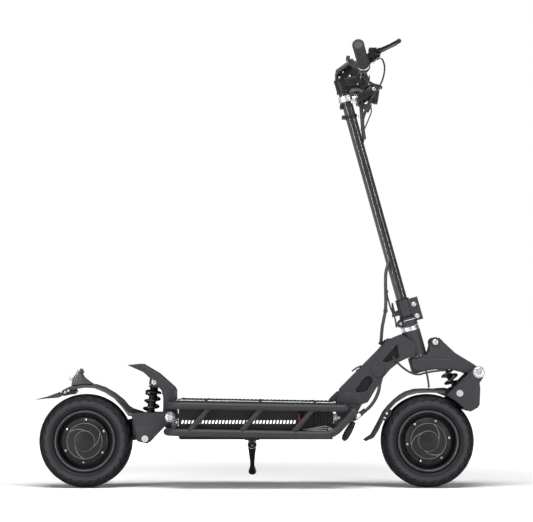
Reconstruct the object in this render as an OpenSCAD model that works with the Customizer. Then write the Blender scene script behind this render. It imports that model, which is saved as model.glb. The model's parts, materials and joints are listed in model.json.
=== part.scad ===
// Electric kick scooter with a single-sided trailing arm at each wheel.
// X points forward, Y to the rider's left, Z up. The wheels stand on Z = 0.

/* [Wheels] */
// Distance between the two axles
wheelbase = 1029; // [1024:1:1030]
// Outer radius of the tyres
tyre_r = 140; // [138:1:141]
// Width of the tyres
tyre_w = 90; // [84:2:92]

/* [Steering] */
// Lean of the steering axis behind vertical, in degrees
rake = 15.2; // [15:0.1:15.4]
// Outer radius of the stem tube
stem_r = 16.5; // [16:0.5:17]
// Total width over the grips
bar_w = 740; // [700:10:760]

/* [Deck] */
// Distance from the centre plane to the side rails
rail_y = 110; // [108:1:114]
// Outer radius of the frame rails
rail_r = 11; // [10:0.5:11.5]
// Forward slope of the deck, in degrees
deck_slope = 0.97; // [0.9:0.01:1]
// Half width of the battery case
case_y = 88; // [84:1:88]

/* [Suspension] */
// Inner face of the swing arms' plates
arm_y = 41; // [41:0.5:42]
// Outer radius of the shock springs
spring_r = 25; // [23:1:25]
// Radius of the spring wire
wire_r = 4; // [3.5:0.25:4.25]

/* [Hidden] */
$fn = 64;
gap = 0.3;         // space between pieces that move past each other
fit = 0.05;        // radial clearance of a pin or shaft in its bore
nose_x = 671;      // reach of the whole scooter, forward and back, from the origin
axle_z = tyre_r;
front_x = 505;
rear_x = front_x - wheelbase;

// Pivots of the swing arms and eyes of the shocks, as [x, z]
rear_pivot = [-268, 212];
rear_eye_top = [-317, 316.5];
rear_eye_low = [-342, 147.5];
front_pivot = [656, 345.5];
front_eye_top = [529, 436];
front_eye_low = [598, 282.5];
pivot_r = 10;
eye_bolt_r = 6;
eye_r = 12;
eye_half = 12;
plate_t = 14;      // thickness of a swing arm's plate
leg_y = arm_y + plate_t;
leg_t = 18;
wheel_gap_r = tyre_r + 5;

// Steering axis: x where it passes z = 568
steer_x0 = 431.8;
steer_z0 = 568;
function steer_x(z) = steer_x0 + (steer_z0 - z) * tan(rake);
head_z = 433;      // middle of the head tube
head_h = 78;
head_r = 28.5;
steerer_r = 14;
stem_z0 = 512;     // bottom of the stem tube, measured along z
stem_z1 = 1240;
fold_pin = [427, 491];
fold_pin_r = 4;
pinch_z = [0, 37];    // the sleeve's pinch bolts, along the stem

// Handlebar
bar_x = 306;
bar_z = 1240;
bar_r = 11.1;
bar_mid_r = 15.9;
bar_straight = 214;
bar_back = 9.8;    // sweep of the grips towards the rider
bar_up = 10.4;     // rise of the grips
grip_r = 17;
lever_pivot = [345, 226, 1276];
lever_up = 4;      // rise of the brake levers

// Deck frame: the rails' rear cross tube, as [x, z]
rail_top = [-274, 248];
rail_low = [-275, 169];
rail_bend = 45;
rail_len = 526;
rail_low_len = 492;
rail_end = [279, 228];
strut_x = [-213, -58, 97];
strut_run = 67;
strut_r = 8;
case_x0 = -240;
case_x1 = 117;
case_z0 = 152;
case_z1 = 240;
neck_y = 36;
tail_y = 62;
socket = [80, 200];   // charge socket on the case's left side, as [x, z]
socket_r = 13;
socket_t = 6;
flap_hinge = [case_y + 7.5, 219];   // hinge of the socket's cap, as [y, z]
flap_w = 8;

stand_pivot = [-24, 92, 128];
stand_tilt = 52.3;
stand_len = 124;

CHARCOAL = [0.17, 0.17, 0.18];
BLACK = [0.06, 0.06, 0.065];
SILVER = [0.75, 0.76, 0.78];
RUBBER = [0.04, 0.04, 0.04];
RED = [0.75, 0.1, 0.1];

// ---- shared shapes ----

// A cylinder along Y through [x, z], from y0 to y1
module across(p, r, y0, y1) {
    translate([p[0], y0, p[1]]) rotate([-90, 0, 0]) cylinder(r = r, h = y1 - y0);
}

// An [x, z] outline made thick from y0 to y1
module slab(points, y0, y1) {
    translate([0, y1, 0]) rotate([90, 0, 0]) linear_extrude(y1 - y0) polygon(points);
}

// A straight round bar between two points
module rod(a, b, r) {
    d = b - a;
    length = norm(d);
    translate(a) rotate([0, acos(d[2] / length), atan2(d[1], d[0])]) cylinder(r = r, h = length);
}

// A plate whose two round ends are joined by straight sides
module link(p, q, rp, rq, y0, y1) {
    n = [q[1] - p[1], p[0] - q[0]] / norm(q - p);
    across(p, rp, y0, y1);
    across(q, rq, y0, y1);
    slab([p + n * rp, q + n * rq, q - n * rq, p - n * rp], y0, y1);
}

// The same piece on both sides of the centre plane
module both() {
    children();
    mirror([0, 1, 0]) children();
}

// Children drawn on the steering axis at height z, with their own Z along it
module on_steerer(z) {
    translate([steer_x(z), 0, z]) rotate([0, -rake, 0]) children();
}

// Children drawn in the sloping frame of a rail loop whose rear cross tube is at p
module on_rail(p) {
    translate([p[0], 0, p[1]]) rotate([0, deck_slope, 0]) children();
}

// Children drawn at the inner end of the left grip, with Z along the bar
module on_grip() {
    translate([bar_x, bar_straight, bar_z])
        rotate([bar_up - 90, 0, 0]) rotate([0, -bar_back, 0]) children();
}

// A closed tube swept along a route
function unit(v) = v / norm(v);
function heading(p, i) = unit(p[min(i + 1, len(p) - 1)] - p[max(i - 1, 0)]);
function ring(c, d, r, n) =
    let (s = unit(cross(d, abs(d[1]) > 0.9 ? [1, 0, 0] : [0, 1, 0])), t = cross(d, s))
    [for (k = [0 : n - 1]) c + r * (s * cos(k * 360 / n) + t * sin(k * 360 / n))];
module hose(p, r, n = 8) {
    rings = [for (i = [0 : len(p) - 1]) each ring(p[i], heading(p, i), r, n)];
    sides = [for (i = [0 : len(p) - 2], k = [0 : n - 1]) let (m = (k + 1) % n)
        [i * n + k, i * n + m, (i + 1) * n + m, (i + 1) * n + k]];
    polyhedron(rings, concat(sides, [[for (k = [n - 1 : -1 : 0]) k]],
        [[for (k = [0 : n - 1]) (len(p) - 1) * n + k]]), convexity = 4);
}

// Points half-way along a route, rounded by corner cutting
function cut(p) = concat([p[0]],
    [for (i = [0 : len(p) - 2]) each [p[i] * 0.75 + p[i + 1] * 0.25, p[i] * 0.25 + p[i + 1] * 0.75]],
    [p[len(p) - 1]]);

// ---- frame ----

module rail_loop(length) {
    both() {
        translate([rail_bend, rail_y, 0]) rotate([0, 90, 0]) cylinder(r = rail_r, h = length - rail_bend);
        translate([rail_bend, rail_y - rail_bend, 0]) rotate([0, 0, 90])
            rotate_extrude(angle = 90) translate([rail_bend, 0]) circle(rail_r);
    }
    translate([0, rail_bend - rail_y, 0])
        rotate([-90, 0, 0]) cylinder(r = rail_r, h = 2 * (rail_y - rail_bend));
}

module upper_rails() {
    weld = 0.5;
    color(CHARCOAL) on_rail(rail_top) {
        rail_loop(rail_len);
        translate([rail_len, -rail_y, 0]) rotate([-90, 0, 0]) cylinder(r = rail_r, h = 2 * rail_y);
        both() translate([rail_len, rail_y, 0]) sphere(rail_r + weld);
    }
}

// The lower loop's sides turn up at a knee, with a bend of radius knee_r, to the end cross tube
module lower_rails() {
    weld = 0.5;
    knee_r = 60;
    knee = [rail_low[0] + rail_low_len, rail_y, rail_low[1] - rail_low_len * tan(deck_slope)];
    tip = [rail_end[0], rail_y, rail_end[1]];
    turn = atan2(tip[2] - knee[2], tip[0] - knee[0]) + deck_slope;
    back = knee_r * tan(turn / 2);
    color(CHARCOAL) {
        on_rail(rail_low) rail_loop(rail_low_len - back);
        across(rail_end, rail_r, -rail_y, rail_y);
        both() {
            translate(knee) rotate([90, 0, 0]) rotate([0, 0, -deck_slope]) translate([-back, knee_r, 0])
                rotate([0, 0, -90]) rotate_extrude(angle = turn) translate([knee_r, 0]) circle(rail_r);
            rod(knee + back * unit(tip - knee), tip, rail_r);
            translate(tip) sphere(rail_r + weld);
            for (x = strut_x) rod([x, rail_y, 165], [x + strut_run, rail_y, 244], strut_r);
        }
    }
}

module neck_casting() {
    outline = [[231, 250], [231, 264], [243, 297], [359.6, 414], [383, 442], [427, 460],
        [470, 430], [466, 391], [443, 387], [420, 376], [392, 353.6], [364.8, 321.6],
        [349.6, 297], [325, 255.7], [307, 248.7], [296.7, 230.4], [285, 200], [232, 175]];
    gusset = [[368, 378], [414, 430], [421, 390], [384, 375]];
    slot = [[287, 294], [315, 331], [327, 336], [338, 330], [341, 318], [324, 291], [315, 285], [291, 284]];
    recess = 11;
    color(CHARCOAL) difference() {
        union() {
            slab(outline, -neck_y, neck_y);
            on_steerer(head_z) translate([0, 0, -head_h / 2]) cylinder(r = head_r, h = head_h);
            across([354.8, 352.3], 20, -neck_y - 3, neck_y + 3);
        }
        on_steerer(head_z) translate([0, 0, -head_h]) cylinder(r = 24 + fit, h = 2 * head_h);
        both() {
            slab(gusset, neck_y - recess, neck_y + recess);
            slab(slot, neck_y - recess, neck_y + recess);
        }
    }
}

module headset_cups() {
    color(SILVER) on_steerer(head_z) difference() {
        union() {
            translate([0, 0, head_h / 2 + 0.1]) cylinder(r = 26, h = 13);
            both_ends() translate([0, 0, head_h / 2 - 12]) cylinder(r = 24, h = 12.1);
        }
        translate([0, 0, -head_h]) cylinder(r = steerer_r + fit, h = 2 * head_h);
    }
}

module both_ends() {
    children();
    mirror([0, 0, 1]) children();
}

module deck_plate() {
    color(CHARCOAL) on_rail(rail_top) translate([24, -112, rail_r + 0.8]) cube([473, 224, 5]);
}

module deck_mat() {
    rib = 24;
    color(RUBBER) on_rail(rail_top) translate([0, 0, rail_r + 6]) difference() {
        translate([33, -104, 0]) cube([456, 208, 4]);
        for (x = [57 : rib : 470]) translate([x, -92, 2.5]) cube([4, 184, 4]);
    }
}

module battery_case() {
    wall = 3;
    color(BLACK) {
        difference() {
            translate([case_x0, -case_y, case_z0]) cube([case_x1 - case_x0, 2 * case_y, case_z1 - case_z0]);
            translate([case_x0 + wall, wall - case_y, case_z0 + wall])
                cube([case_x1 - case_x0 - 2 * wall, 2 * (case_y - wall), case_z1 - case_z0 - 2 * wall]);
        }
        difference() {
            across(socket, socket_r, case_y, case_y + socket_t);
            across(socket, 8, case_y + 1, case_y + socket_t + 1);
        }
        for (x = [socket[0] - flap_w / 2 - 4, socket[0] + flap_w / 2 + gap])
            translate([x, case_y - 0.01, flap_hinge[1] - 2.5]) cube([3.7, 10, 5]);
        flap_pin(1, flap_w + 4);
    }
}

// A round bar on the axis of the charge cap's hinge
module flap_pin(r, length) {
    translate([socket[0] - length / 2, flap_hinge[0], flap_hinge[1]])
        rotate([0, 90, 0]) cylinder(r = r, h = length);
}

module battery_pack() {
    cell = 11;
    color("royalblue") for (x = [case_x0 + 20 : 2 * cell + 1 : case_x1 - 20])
        translate([x, 0, 0]) across([0, 196], cell, 4 - case_y, case_y - 4);
}

module controller_box() {
    fins = 9;
    pitch = 10;
    color(BLACK) {
        translate([119, -80, 155]) cube([99, 160, 82]);
        both() for (i = [0 : fins - 1]) translate([124 + i * pitch, 79.5, 160]) cube([4, 6, 72]);
    }
}

module underside_cover() {
    color(BLACK) translate([-238, -86, 147]) cube([455, 172, 4.5]);
}

// Light strip along each side of the case, with room for the charge socket on the left
module light_strips() {
    color("white") difference() {
        both() translate([-236, case_y + 0.1, 191]) cube([350, 2.5, 14]);
        across(socket, socket_r + 2, case_y, case_y + 5);
    }
}

module kick_plate() {
    outline = [[-396, 367], [-354, 371], [-306, 343], [-259, 302], [-253, 291], [-253, 236],
        [-288, 236], [-288, 270], [-293, 291], [-324, 324], [-347, 345]];
    lug = [[-290, 240], [-250, 240], [-250, 179.5], [-282, 179.5], [-290, 195]];
    ear = [[-334, 312], [-330, 334], [-296, 312], [-300, 298], [-322, 300]];
    color(CHARCOAL) difference() {
        union() {
            slab(outline, -tail_y, tail_y);
            slab(lug, gap - arm_y, arm_y - gap);
            both() slab(ear, eye_half + 1, eye_half + 9);
        }
        across(rear_pivot, pivot_r + fit, -100, 100);
        across(rear_eye_top, eye_bolt_r + fit, -100, 100);
        across(rear_eye_top, 17, -eye_half - 1, eye_half + 1);
        both() across(rear_eye_top, 10, eye_half + 9, tail_y + 1);
    }
}

// A bolt across the scooter with a round head at each end
module cross_bolt(p, r, head_r, reach, head_t) {
    across(p, r, -reach, reach);
    both() across(p, head_r, reach - 0.01, reach + head_t);
}

module frame_bolts() {
    deck_screw_x = [36, 116, 276, 436];
    color(SILVER) {
        cross_bolt(rear_pivot, pivot_r, 13, leg_y + gap, 4);
        cross_bolt(rear_eye_top, eye_bolt_r, 9, eye_half + 9.1, 4);
        on_rail(rail_top) both() for (x = deck_screw_x)
            translate([x, 108, rail_r + 5.9]) cylinder(r = 3.5, h = 2);
        on_stand() {
            translate([0, 0, -11]) cylinder(r = 4, h = 24);
            translate([0, 0, 12.4]) cylinder(r = 7, h = 3);
        }
    }
}

// Children drawn at the kickstand's pivot, with Z along its bolt and Y down the leg
module on_stand() {
    translate(stand_pivot) rotate([-stand_tilt, 0, 0]) children();
}

module stand_bracket() {
    color(CHARCOAL) difference() {
        union() {
            translate([-46, 58, 138]) cube([44, 26, 8.8]);
            on_stand() translate([0, 0, -12]) cylinder(r = 11, h = 12 - gap);
            translate([-32, 70, 128]) cube([16, 11, 12]);
        }
        on_stand() translate([0, 0, -20]) cylinder(r = 4 + fit, h = 40);
    }
}

module kickstand_leg() {
    leg_h = 12;
    neck_end = stand_len - 20;
    blade = [[-12, -3], [-8, -9], [8, -9], [12, -3], [13, 12], [9.5, 47], [6.5, 76], [6.5, neck_end],
        [-6.5, neck_end], [-6.5, 76], [-9.5, 47], [-13, 12]];
    color(CHARCOAL) on_stand() difference() {
        union() {
            linear_extrude(leg_h) polygon(blade);
            translate([0, neck_end - 6, leg_h / 2]) rotate([-90, 0, 0]) {
                cylinder(r1 = 6.5, r2 = 12, h = 20);
                translate([0, 0, 20]) cylinder(r = 12, h = 6);
            }
        }
        translate([0, 0, -5]) cylinder(r = 4 + fit, h = 20);
    }
}

module main_harness() {
    route = [[368, -24, 334], [361, -30, 310], [357, -38, 290], [348, -42, 268], [334, -44, 247],
        [317, -46, 231], [300, -50, 219], [284, -56, 206], [262, -64, 200], [240, -72, 196],
        [223, -76, 196]];
    color(BLACK) hose(cut(route), 5.5, 10);
}

module charge_cap() {
    lid_y = case_y + socket_t + gap;
    color(RUBBER) difference() {
        union() {
            across(socket, socket_r, lid_y, lid_y + 2.7);
            across(socket, 7.5, case_y + 2, lid_y + 0.1);
            translate([socket[0] - flap_w / 2, lid_y, 208]) cube([flap_w, 2.7, flap_hinge[1] - 208]);
            flap_pin(2.2, flap_w);
        }
        flap_pin(1 + fit, 2 * flap_w);
    }
}

// ---- fork and fold ----

module fork_crown() {
    outline = [[480, 392], [488, 347.5], [498.6, 349], [527.4, 353.6], [583.7, 353.6],
        [617.1, 344.7], [640, 334], [656, 328.5], [668, 350], [645, 369], [588.5, 403.5],
        [550.5, 439], [542, 448.5], [527.4, 449], [516.8, 437.2], [511.6, 412.8], [504.6, 399]];
    well = [[508, 300], [508, 404], [515, 424], [519, 460], [545, 460], [551, 434],
        [590, 397.5], [632, 370], [632, 300]];
    crown_y = 36;
    wall_y = 26;
    lug_r = 31;
    color(CHARCOAL) difference() {
        union() {
            slab(outline, -crown_y, crown_y);
            on_steerer(347) cylinder(r = lug_r, h = 60);
            across(front_pivot, 17, gap - arm_y, arm_y - gap);
        }
        slab(well, -wall_y, wall_y);
        across(front_pivot, pivot_r + fit, -100, 100);
        across(front_eye_top, eye_bolt_r + fit, -100, 100);
        on_steerer(360) translate([0, 0, -30]) cylinder(r = steerer_r + fit, h = 100);
        on_steerer(head_z) translate([0, 0, -head_h / 2 - 1.2]) cylinder(r = lug_r + 1, h = 60);
    }
}

module steerer_tube() {
    color(SILVER) on_steerer(360) difference() {
        cylinder(r = steerer_r, h = 142);
        translate([0, 0, -1]) cylinder(r = steerer_r - 3, h = 150);
    }
}

module fold_base() {
    ear_r = 10;
    web = [[422, 483], [446, 485], [446, 490], [427, 500]];
    slot = [[408, 476], [408, 506], [440, 506], [440, 476]];
    color(CHARCOAL) difference() {
        union() {
            on_steerer(484.5) cylinder(r = 27, h = 18);
            both() {
                across(fold_pin, ear_r, 8, 17);
                slab(web, 8, 17);
            }
        }
        on_steerer(480) cylinder(r = steerer_r + fit, h = 60);
        across(fold_pin, fold_pin_r + fit, -40, 40);
        slab(slot, -7.9, 7.9);
    }
}

module fork_bolts() {
    color(SILVER) {
        cross_bolt(front_pivot, pivot_r, 16, leg_y + gap, 5);
        cross_bolt(front_eye_top, eye_bolt_r, 9, 36.1, 3);
        across(fold_pin, fold_pin_r, -18, 18);
    }
}

module control_cables() {
    stem_loop = [[374, 0, 690], [376, 0, 660], [380, 0, 635], [382, 0, 600], [382, 0, 565], [381, 0, 530],
        [377, 0, 480], [371, -4, 452], [366, -8, 434]];
    branch = [[387, -8, 565], [396, -16, 534], [410, -20, 508], [412, -20, 478]];
    front_hose = [[416, -40, 380], [440, -40, 358], [460, -40, 341], [478, -40, 338], [499, -40, 345],
        [530, -40, 349], [562, -40, 351]];
    wheel_lead = [[509, -30, 344], [513, -30, 322], [515, -28, 303]];
    top_loop = [[316, -50, 1222], [310, -48, 1190], [309, -46, 1160], [312, -34, 1130], [315, -20, 1104],
        [317, -10, 1072]];
    color(BLACK) {
        hose(cut(stem_loop), 5);
        hose(cut(branch), 2.5);
        hose(cut(front_hose), 3);
        hose(wheel_lead, 3);
        both() hose(cut(top_loop), 3);
    }
}

// ---- stem and handlebar ----

module stem_tube() {
    color(BLACK) on_steerer(stem_z0) difference() {
        cylinder(r = stem_r, h = (stem_z1 - stem_z0) / cos(rake) - 18);
        translate([0, 0, -1]) cylinder(r = stem_r - 2.5, h = 800);
    }
}

module fold_sleeve() {
    foot = 5;
    tongue = [[418, 498], [418, 484.5], [430, 484.5], [437, 494], [437, 503], [446, 510], [436, 516]];
    latch_ear = [[403, 512], [403, 526], [432, 540], [436, 520]];
    color(CHARCOAL) difference() {
        union() {
            on_steerer(504) cylinder(r = 24, h = foot);
            on_steerer(508) cylinder(r = 20.5, h = 60);
            on_steerer(508) translate([10, -13, 0]) cube([36, 26, 57]);
            on_steerer(508) translate([28, -13, -13]) cube([18, 26, 14]);
            slab(tongue, -7.6, 7.6);
            both() slab(latch_ear, 6, 10);
        }
        on_steerer(509) cylinder(r = stem_r + fit, h = 80);
        on_steerer(500) cylinder(r = steerer_r + 1, h = 20);
        both() across(fold_pin, 12.5, 7.7, 17.6);
        on_steerer(508) translate([16, -1, -20]) cube([40, 2, 90]);
        across(fold_pin, fold_pin_r + fit, -40, 40);
        on_steerer(508) for (z = pinch_z) translate([30, 0, z]) rotate([90, 0, 0])
            cylinder(r = 4 + fit, h = 60, center = true);
        across([408, 519], 2.5 + fit, -40, 40);
    }
}

module fold_latch() {
    color(BLACK) difference() {
        union() {
            slab([[404, 514], [412, 514], [411, 530], [405, 556], [401, 555], [402, 530]], -5.7, 5.7);
            across([408, 519], 5.5, -5.7, 5.7);
        }
        across([408, 519], 2.5 + fit, -10, 10);
    }
}

module stem_bolts() {
    color(SILVER) {
        on_steerer(508) for (z = pinch_z) translate([30, 0, z]) rotate([90, 0, 0]) {
            cylinder(r = 4, h = 30, center = true);
            both_ends() translate([0, 0, 13.1]) cylinder(r = 6.5, h = 5);
        }
        across([408, 519], 2.5, -11, 11);
        both() for (z = [-12, 12])
            translate([bar_x + 14.5, 14, bar_z + z]) rotate([0, 90, 0]) cylinder(r = 4, h = 12);
    }
}

module stem_block() {
    color(BLACK) difference() {
        union() {
            on_steerer(1206) cylinder(r = 21, h = 40);
            slab([[250, 1222], [236, 1250], [290, 1262], [306, 1264], [326, 1262], [326, 1216], [306, 1214],
                [268, 1210]], -22, 22);
        }
        on_steerer(1190) cylinder(r = stem_r + fit, h = 46);
        across([bar_x, bar_z], bar_mid_r + fit, -40, 40);
        both() for (z = [-12, 12])
            translate([bar_x + 13.5, 14, bar_z + z]) rotate([0, 90, 0]) cylinder(r = 4 + fit, h = 30);
    }
}

module handlebar() {
    color(BLACK) {
        across([bar_x, bar_z], bar_mid_r, -36, 36);
        across([bar_x, bar_z], bar_r, -bar_straight, bar_straight);
        both() {
            translate([bar_x, bar_straight, bar_z]) sphere(bar_r + 0.2);
            on_grip() cylinder(r = bar_r, h = grip_end() - 6);
        }
    }
}

// Length of the grips' axis from the bend to the bar's end
function grip_end() = (bar_w / 2 - bar_straight - grip_r * sin(bar_up)) / (cos(bar_up) * cos(bar_back));

module grips() {
    lock_ring = 9;
    color(RUBBER) both() on_grip() difference() {
        union() {
            translate([0, 0, 8]) cylinder(r = grip_r + 1, h = lock_ring);
            translate([0, 0, 8 + lock_ring]) cylinder(r = grip_r, h = grip_end() - 8 - lock_ring);
        }
        translate([0, 0, -1]) cylinder(r = bar_r + fit, h = grip_end() - 4);
    }
}

module brake_masters() {
    color(BLACK) both() difference() {
        union() {
            across([bar_x, bar_z], 17, 184, 198);
            slab([[304, 1250], [304, 1266], [326, 1290], [334, 1290], [336, 1262], [320, 1244]], 186, 197);
            translate([322, 176, 1266]) cube([30, 38, 27]);
            translate([337, 172, 1270]) rotate([-90, 0, 0]) cylinder(r = 9, h = 36);
            translate(lever_pivot) rotate([lever_up, 0, 0]) {
                translate([-9, -16, -4.3]) cube([18, 24, 4]);
                translate([-9, -16, 8.3]) cube([18, 24, 4]);
                translate([0, 0, -4]) cylinder(r = 3, h = 16);
            }
        }
        across([bar_x, bar_z], bar_r + fit, 100, 210);
    }
}

module brake_lever() {
    blade = [[-7, -7], [9, -7], [18, 20], [36, 50], [54, 88], [55, 102], [47, 101], [28, 60], [8, 28],
        [-6, 8]];
    color(BLACK) translate(lever_pivot) rotate([lever_up, 0, 0]) difference() {
        union() {
            linear_extrude(8) polygon(blade);
            cylinder(r = 9, h = 8);
            translate([53, 103, 4]) sphere(7);
        }
        translate([0, 0, -5]) cylinder(r = 3 + fit, h = 20);
    }
}

module brake_lever_left() {
    brake_lever();
}

module brake_lever_right() {
    mirror([0, 1, 0]) brake_lever();
}

module bar_controls() {
    color(BLACK) {
        difference() {
            union() {
                across([bar_x, bar_z], 17, 120, 146);
                translate([264, 118, 1222]) cube([30, 30, 36]);
            }
            across([bar_x, bar_z], bar_r + fit, 100, 200);
            for (z = [1231, 1249]) translate([260, 133, z]) rotate([0, 90, 0]) cylinder(r = 6.3, h = 10);
        }
        difference() {
            across([bar_x, bar_z], 19, -213, -205);
            across([bar_x, bar_z], bar_r + fit, -230, -100);
        }
    }
}

module push_button(z) {
    translate([261.5, 133, z]) rotate([0, 90, 0]) cylinder(r = 6, h = 6);
}

module horn_button() {
    color(RED) push_button(1231);
}

module light_button() {
    color(SILVER) push_button(1249);
}

module throttle_paddle() {
    arm = [[290, 1236], [286, 1250], [262, 1266], [256, 1262], [274, 1238]];
    color(BLACK) difference() {
        union() {
            across([bar_x, bar_z], 18, -204.7, -198.3);
            slab(arm, -204.7, -198.3);
            translate([254, -236, 1258]) cube([10, 37.6, 8]);
        }
        across([bar_x, bar_z], bar_r + gap, -230, -100);
    }
}

module display_housing() {
    color(BLACK) {
        translate([261, 0, 1279]) rotate([0, -36.7, 0]) cube([64, 84, 10], center = true);
        slab([[272, 1258.4], [290, 1262.4], [292, 1284], [276, 1276]], -16, 16);
    }
}

module headlight_bracket() {
    color(SILVER) difference() {
        union() {
            on_steerer(1168) cylinder(r = 22, h = 22);
            on_steerer(1176) translate([8, -10, -6]) cube([26, 20, 16]);
            translate([292, -39, 1166]) cube([10, 78, 28]);
            both() slab([[292, 1168], [292, 1192], [338, 1216], [356, 1214], [356, 1200], [316, 1176]],
                34.4, 39);
        }
        on_steerer(1150) cylinder(r = stem_r + fit, h = 80);
        across([348, 1207], 3 + fit, -60, 60);
    }
}

module headlight() {
    color(BLACK) {
        translate([365, 0, 1197.5]) rotate([0, 97, 0]) {
            translate([0, 0, -26]) cylinder(r = 31, h = 26);
            translate([0, 0, -36]) cylinder(r1 = 22, r2 = 31, h = 10.01);
        }
        across([348, 1207], 3, -42, 42);
    }
}

// ---- swing arms and wheels ----

module arm_leg(p, x, r) {
    link(p, [x, axle_z], r, 30, leg_y - 1, leg_y + leg_t);
}

module front_arm() {
    plate = [[641, 356], [562, 279], [580.6, 258], [610, 235], [631, 228], [652, 240], [657.5, 249],
        [660, 297], [658, 313], [669, 330]];
    shin = [[648, 243], [657.5, 249], [660, 297], [651, 297]];
    heel = [[584, 262], [610, 236], [631, 228], [652, 240], [647, 247], [631, 237], [614, 244],
        [590, 267]];
    color(CHARCOAL) difference() {
        union() {
            both() {
                slab(plate, arm_y, leg_y);
                across(front_pivot, 18, arm_y, leg_y);
            }
            slab(shin, -arm_y - 1, arm_y + 1);
            slab(heel, -arm_y - 1, arm_y + 1);
            arm_leg([610, 272], front_x, 32);
        }
        across(front_pivot, pivot_r + fit, -100, 100);
        across(front_eye_low, eye_bolt_r + fit, -100, 100);
        across([front_x, axle_z], wheel_gap_r, -200, arm_y + 8);
        across([front_x, axle_z], 8 + fit, 0, 100);
    }
}

module rear_arm() {
    plate = [[-381, 224], [-282, 226], [-260, 200], [-288, 183], [-335, 133], [-364, 140]];
    back = [[-384, 222], [-378, 222], [-370, 165], [-361, 141], [-366, 140], [-376, 160]];
    color(CHARCOAL) difference() {
        union() {
            both() {
                slab(plate, arm_y, leg_y);
                across(rear_pivot, 20, arm_y, leg_y);
            }
            slab(back, -arm_y - 1, arm_y + 1);
            arm_leg([-350, 180], rear_x, 34);
        }
        across(rear_pivot, pivot_r + fit, -100, 100);
        across(rear_eye_low, eye_bolt_r + fit, -100, 100);
        across([rear_x, axle_z], 8 + fit, 0, 100);
    }
}

// Fixed axle with the motor's stator on it, and the lower shock bolt of that arm
module axle(x, eye) {
    color(SILVER) {
        across([x, axle_z], 8, -33, leg_y + leg_t + 10);
        across([x, axle_z], 13, leg_y + leg_t + 0.1, leg_y + leg_t + 8);
        across([x, axle_z], 13, 38.5, leg_y - 1.1);
        across([x, axle_z], 58, -18, 18);
        across(eye, eye_bolt_r, -leg_y - 0.1, leg_y + 0.1);
        across(eye, 10, -leg_y - 5, -leg_y - 0.1);
    }
}

module front_axle() {
    axle(front_x, front_eye_low);
}

module rear_axle() {
    axle(rear_x, rear_eye_low);
}

// Motor shell and rim, turned about Y
module hub(x) {
    bore = 8 + fit;
    shell = [[0, -46], [30, -46], [30, -42], [54, -42], [69, -30], [69, -4], [82, -4], [82, -36], [92, -40],
        [92, -36], [87, -33], [87, 33], [92, 36], [92, 40], [82, 36], [82, 4], [69, 4], [69, 30], [60, 36],
        [bore, 36], [bore, 24], [62, 24], [62, -24], [bore, -24], [bore, -34], [0, -34]];
    color(CHARCOAL) translate([x, 0, axle_z]) rotate([-90, 0, 0]) rotate_extrude() polygon(shell);
}

module front_hub() {
    hub(front_x);
}

module rear_hub() {
    hub(rear_x);
}

module tyre(x) {
    half = tyre_w / 2;
    crown = 22;
    section = [[87.1, -31], [93, -35], [104, -half + 2], [112, -half], [120, -half], [129, -half + 4],
        [136, -half + 13], [tyre_r, -crown], [tyre_r, crown], [136, half - 13], [129, half - 4],
        [120, half], [112, half], [104, half - 2], [93, 35], [87.1, 31]];
    color(RUBBER) translate([x, 0, axle_z]) rotate([-90, 0, 0]) rotate_extrude($fn = 96) polygon(section);
}

module front_tyre() {
    tyre(front_x);
}

module rear_tyre() {
    tyre(rear_x);
}

module disc(x) {
    holes = 12;
    color(SILVER) translate([x, 0, axle_z]) rotate([-90, 0, 0]) difference() {
        union() {
            translate([0, 0, 45]) cylinder(r = 70, h = 2);
            translate([0, 0, 36.1]) cylinder(r = 34, h = 9);
        }
        translate([0, 0, 30]) cylinder(r = 16, h = 20);
        for (a = [0 : holes - 1])
            rotate([0, 0, a * 360 / holes]) translate([60, 0, 40]) cylinder(r = 4, h = 10);
    }
}

module front_disc() {
    disc(front_x);
}

module rear_disc() {
    disc(rear_x);
}

// Two-pot caliper that straddles the disc, seen from the axle at angle a
module caliper(x, a) {
    color(BLACK) translate([x, 0, axle_z]) rotate([0, a, 0]) difference() {
        translate([46, 40.5, -20]) cube([33, leg_y - 40.6, 40]);
        translate([0, 43.5, 0]) rotate([-90, 0, 0]) cylinder(r = 71.5, h = 5);
    }
}

module front_caliper() {
    caliper(front_x, -52);
}

module rear_caliper() {
    caliper(rear_x, -12);
}

module front_fender() {
    top = [[556, 294], [513, 297], [467, 296], [440, 288], [404.5, 263.5], [372, 228], [351.5, 189],
        [334, 158], [312, 143]];
    under = [[317, 137], [342, 149], [356, 171], [378, 218], [408, 253], [442, 276], [471, 282],
        [512, 284], [556, 282]];
    color(BLACK) slab(concat(top, under), -38, 38);
}

module rear_fender() {
    top = [[-380, 234], [-395, 245], [-410, 263], [-437, 284], [-467, 301], [-495, 310], [-534, 310.5],
        [-565, 306], [-582, 299], [-608, 285], [-640, 273], [-nose_x, 265]];
    under = [[-nose_x, 260], [-640, 264.5], [-614, 266], [-591, 279.7], [-555, 295.5], [-529, 299.7],
        [-497, 297.5], [-467, 285.5], [-437, 266.5], [-416, 244], [-394, 215], [-386, 213],
        [-384.5, 222.4]];
    color(BLACK) slab(concat(top, under), -38, 38);
}

module tail_light() {
    body = [[-565, 306.5], [-563, 317], [-543, 342.6], [-535, 332], [-516, 317], [-504, 310.8],
        [-534, 311.2]];
    color(RED) slab(body, -24, 24);
}

// ---- shocks ----

// Children drawn at the top eye of a shock, with -Z towards its lower eye
module on_shock(top, low) {
    d = top - low;
    translate([top[0], 0, top[1]]) rotate([0, atan2(d[0], d[1]), 0]) children();
}

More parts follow.
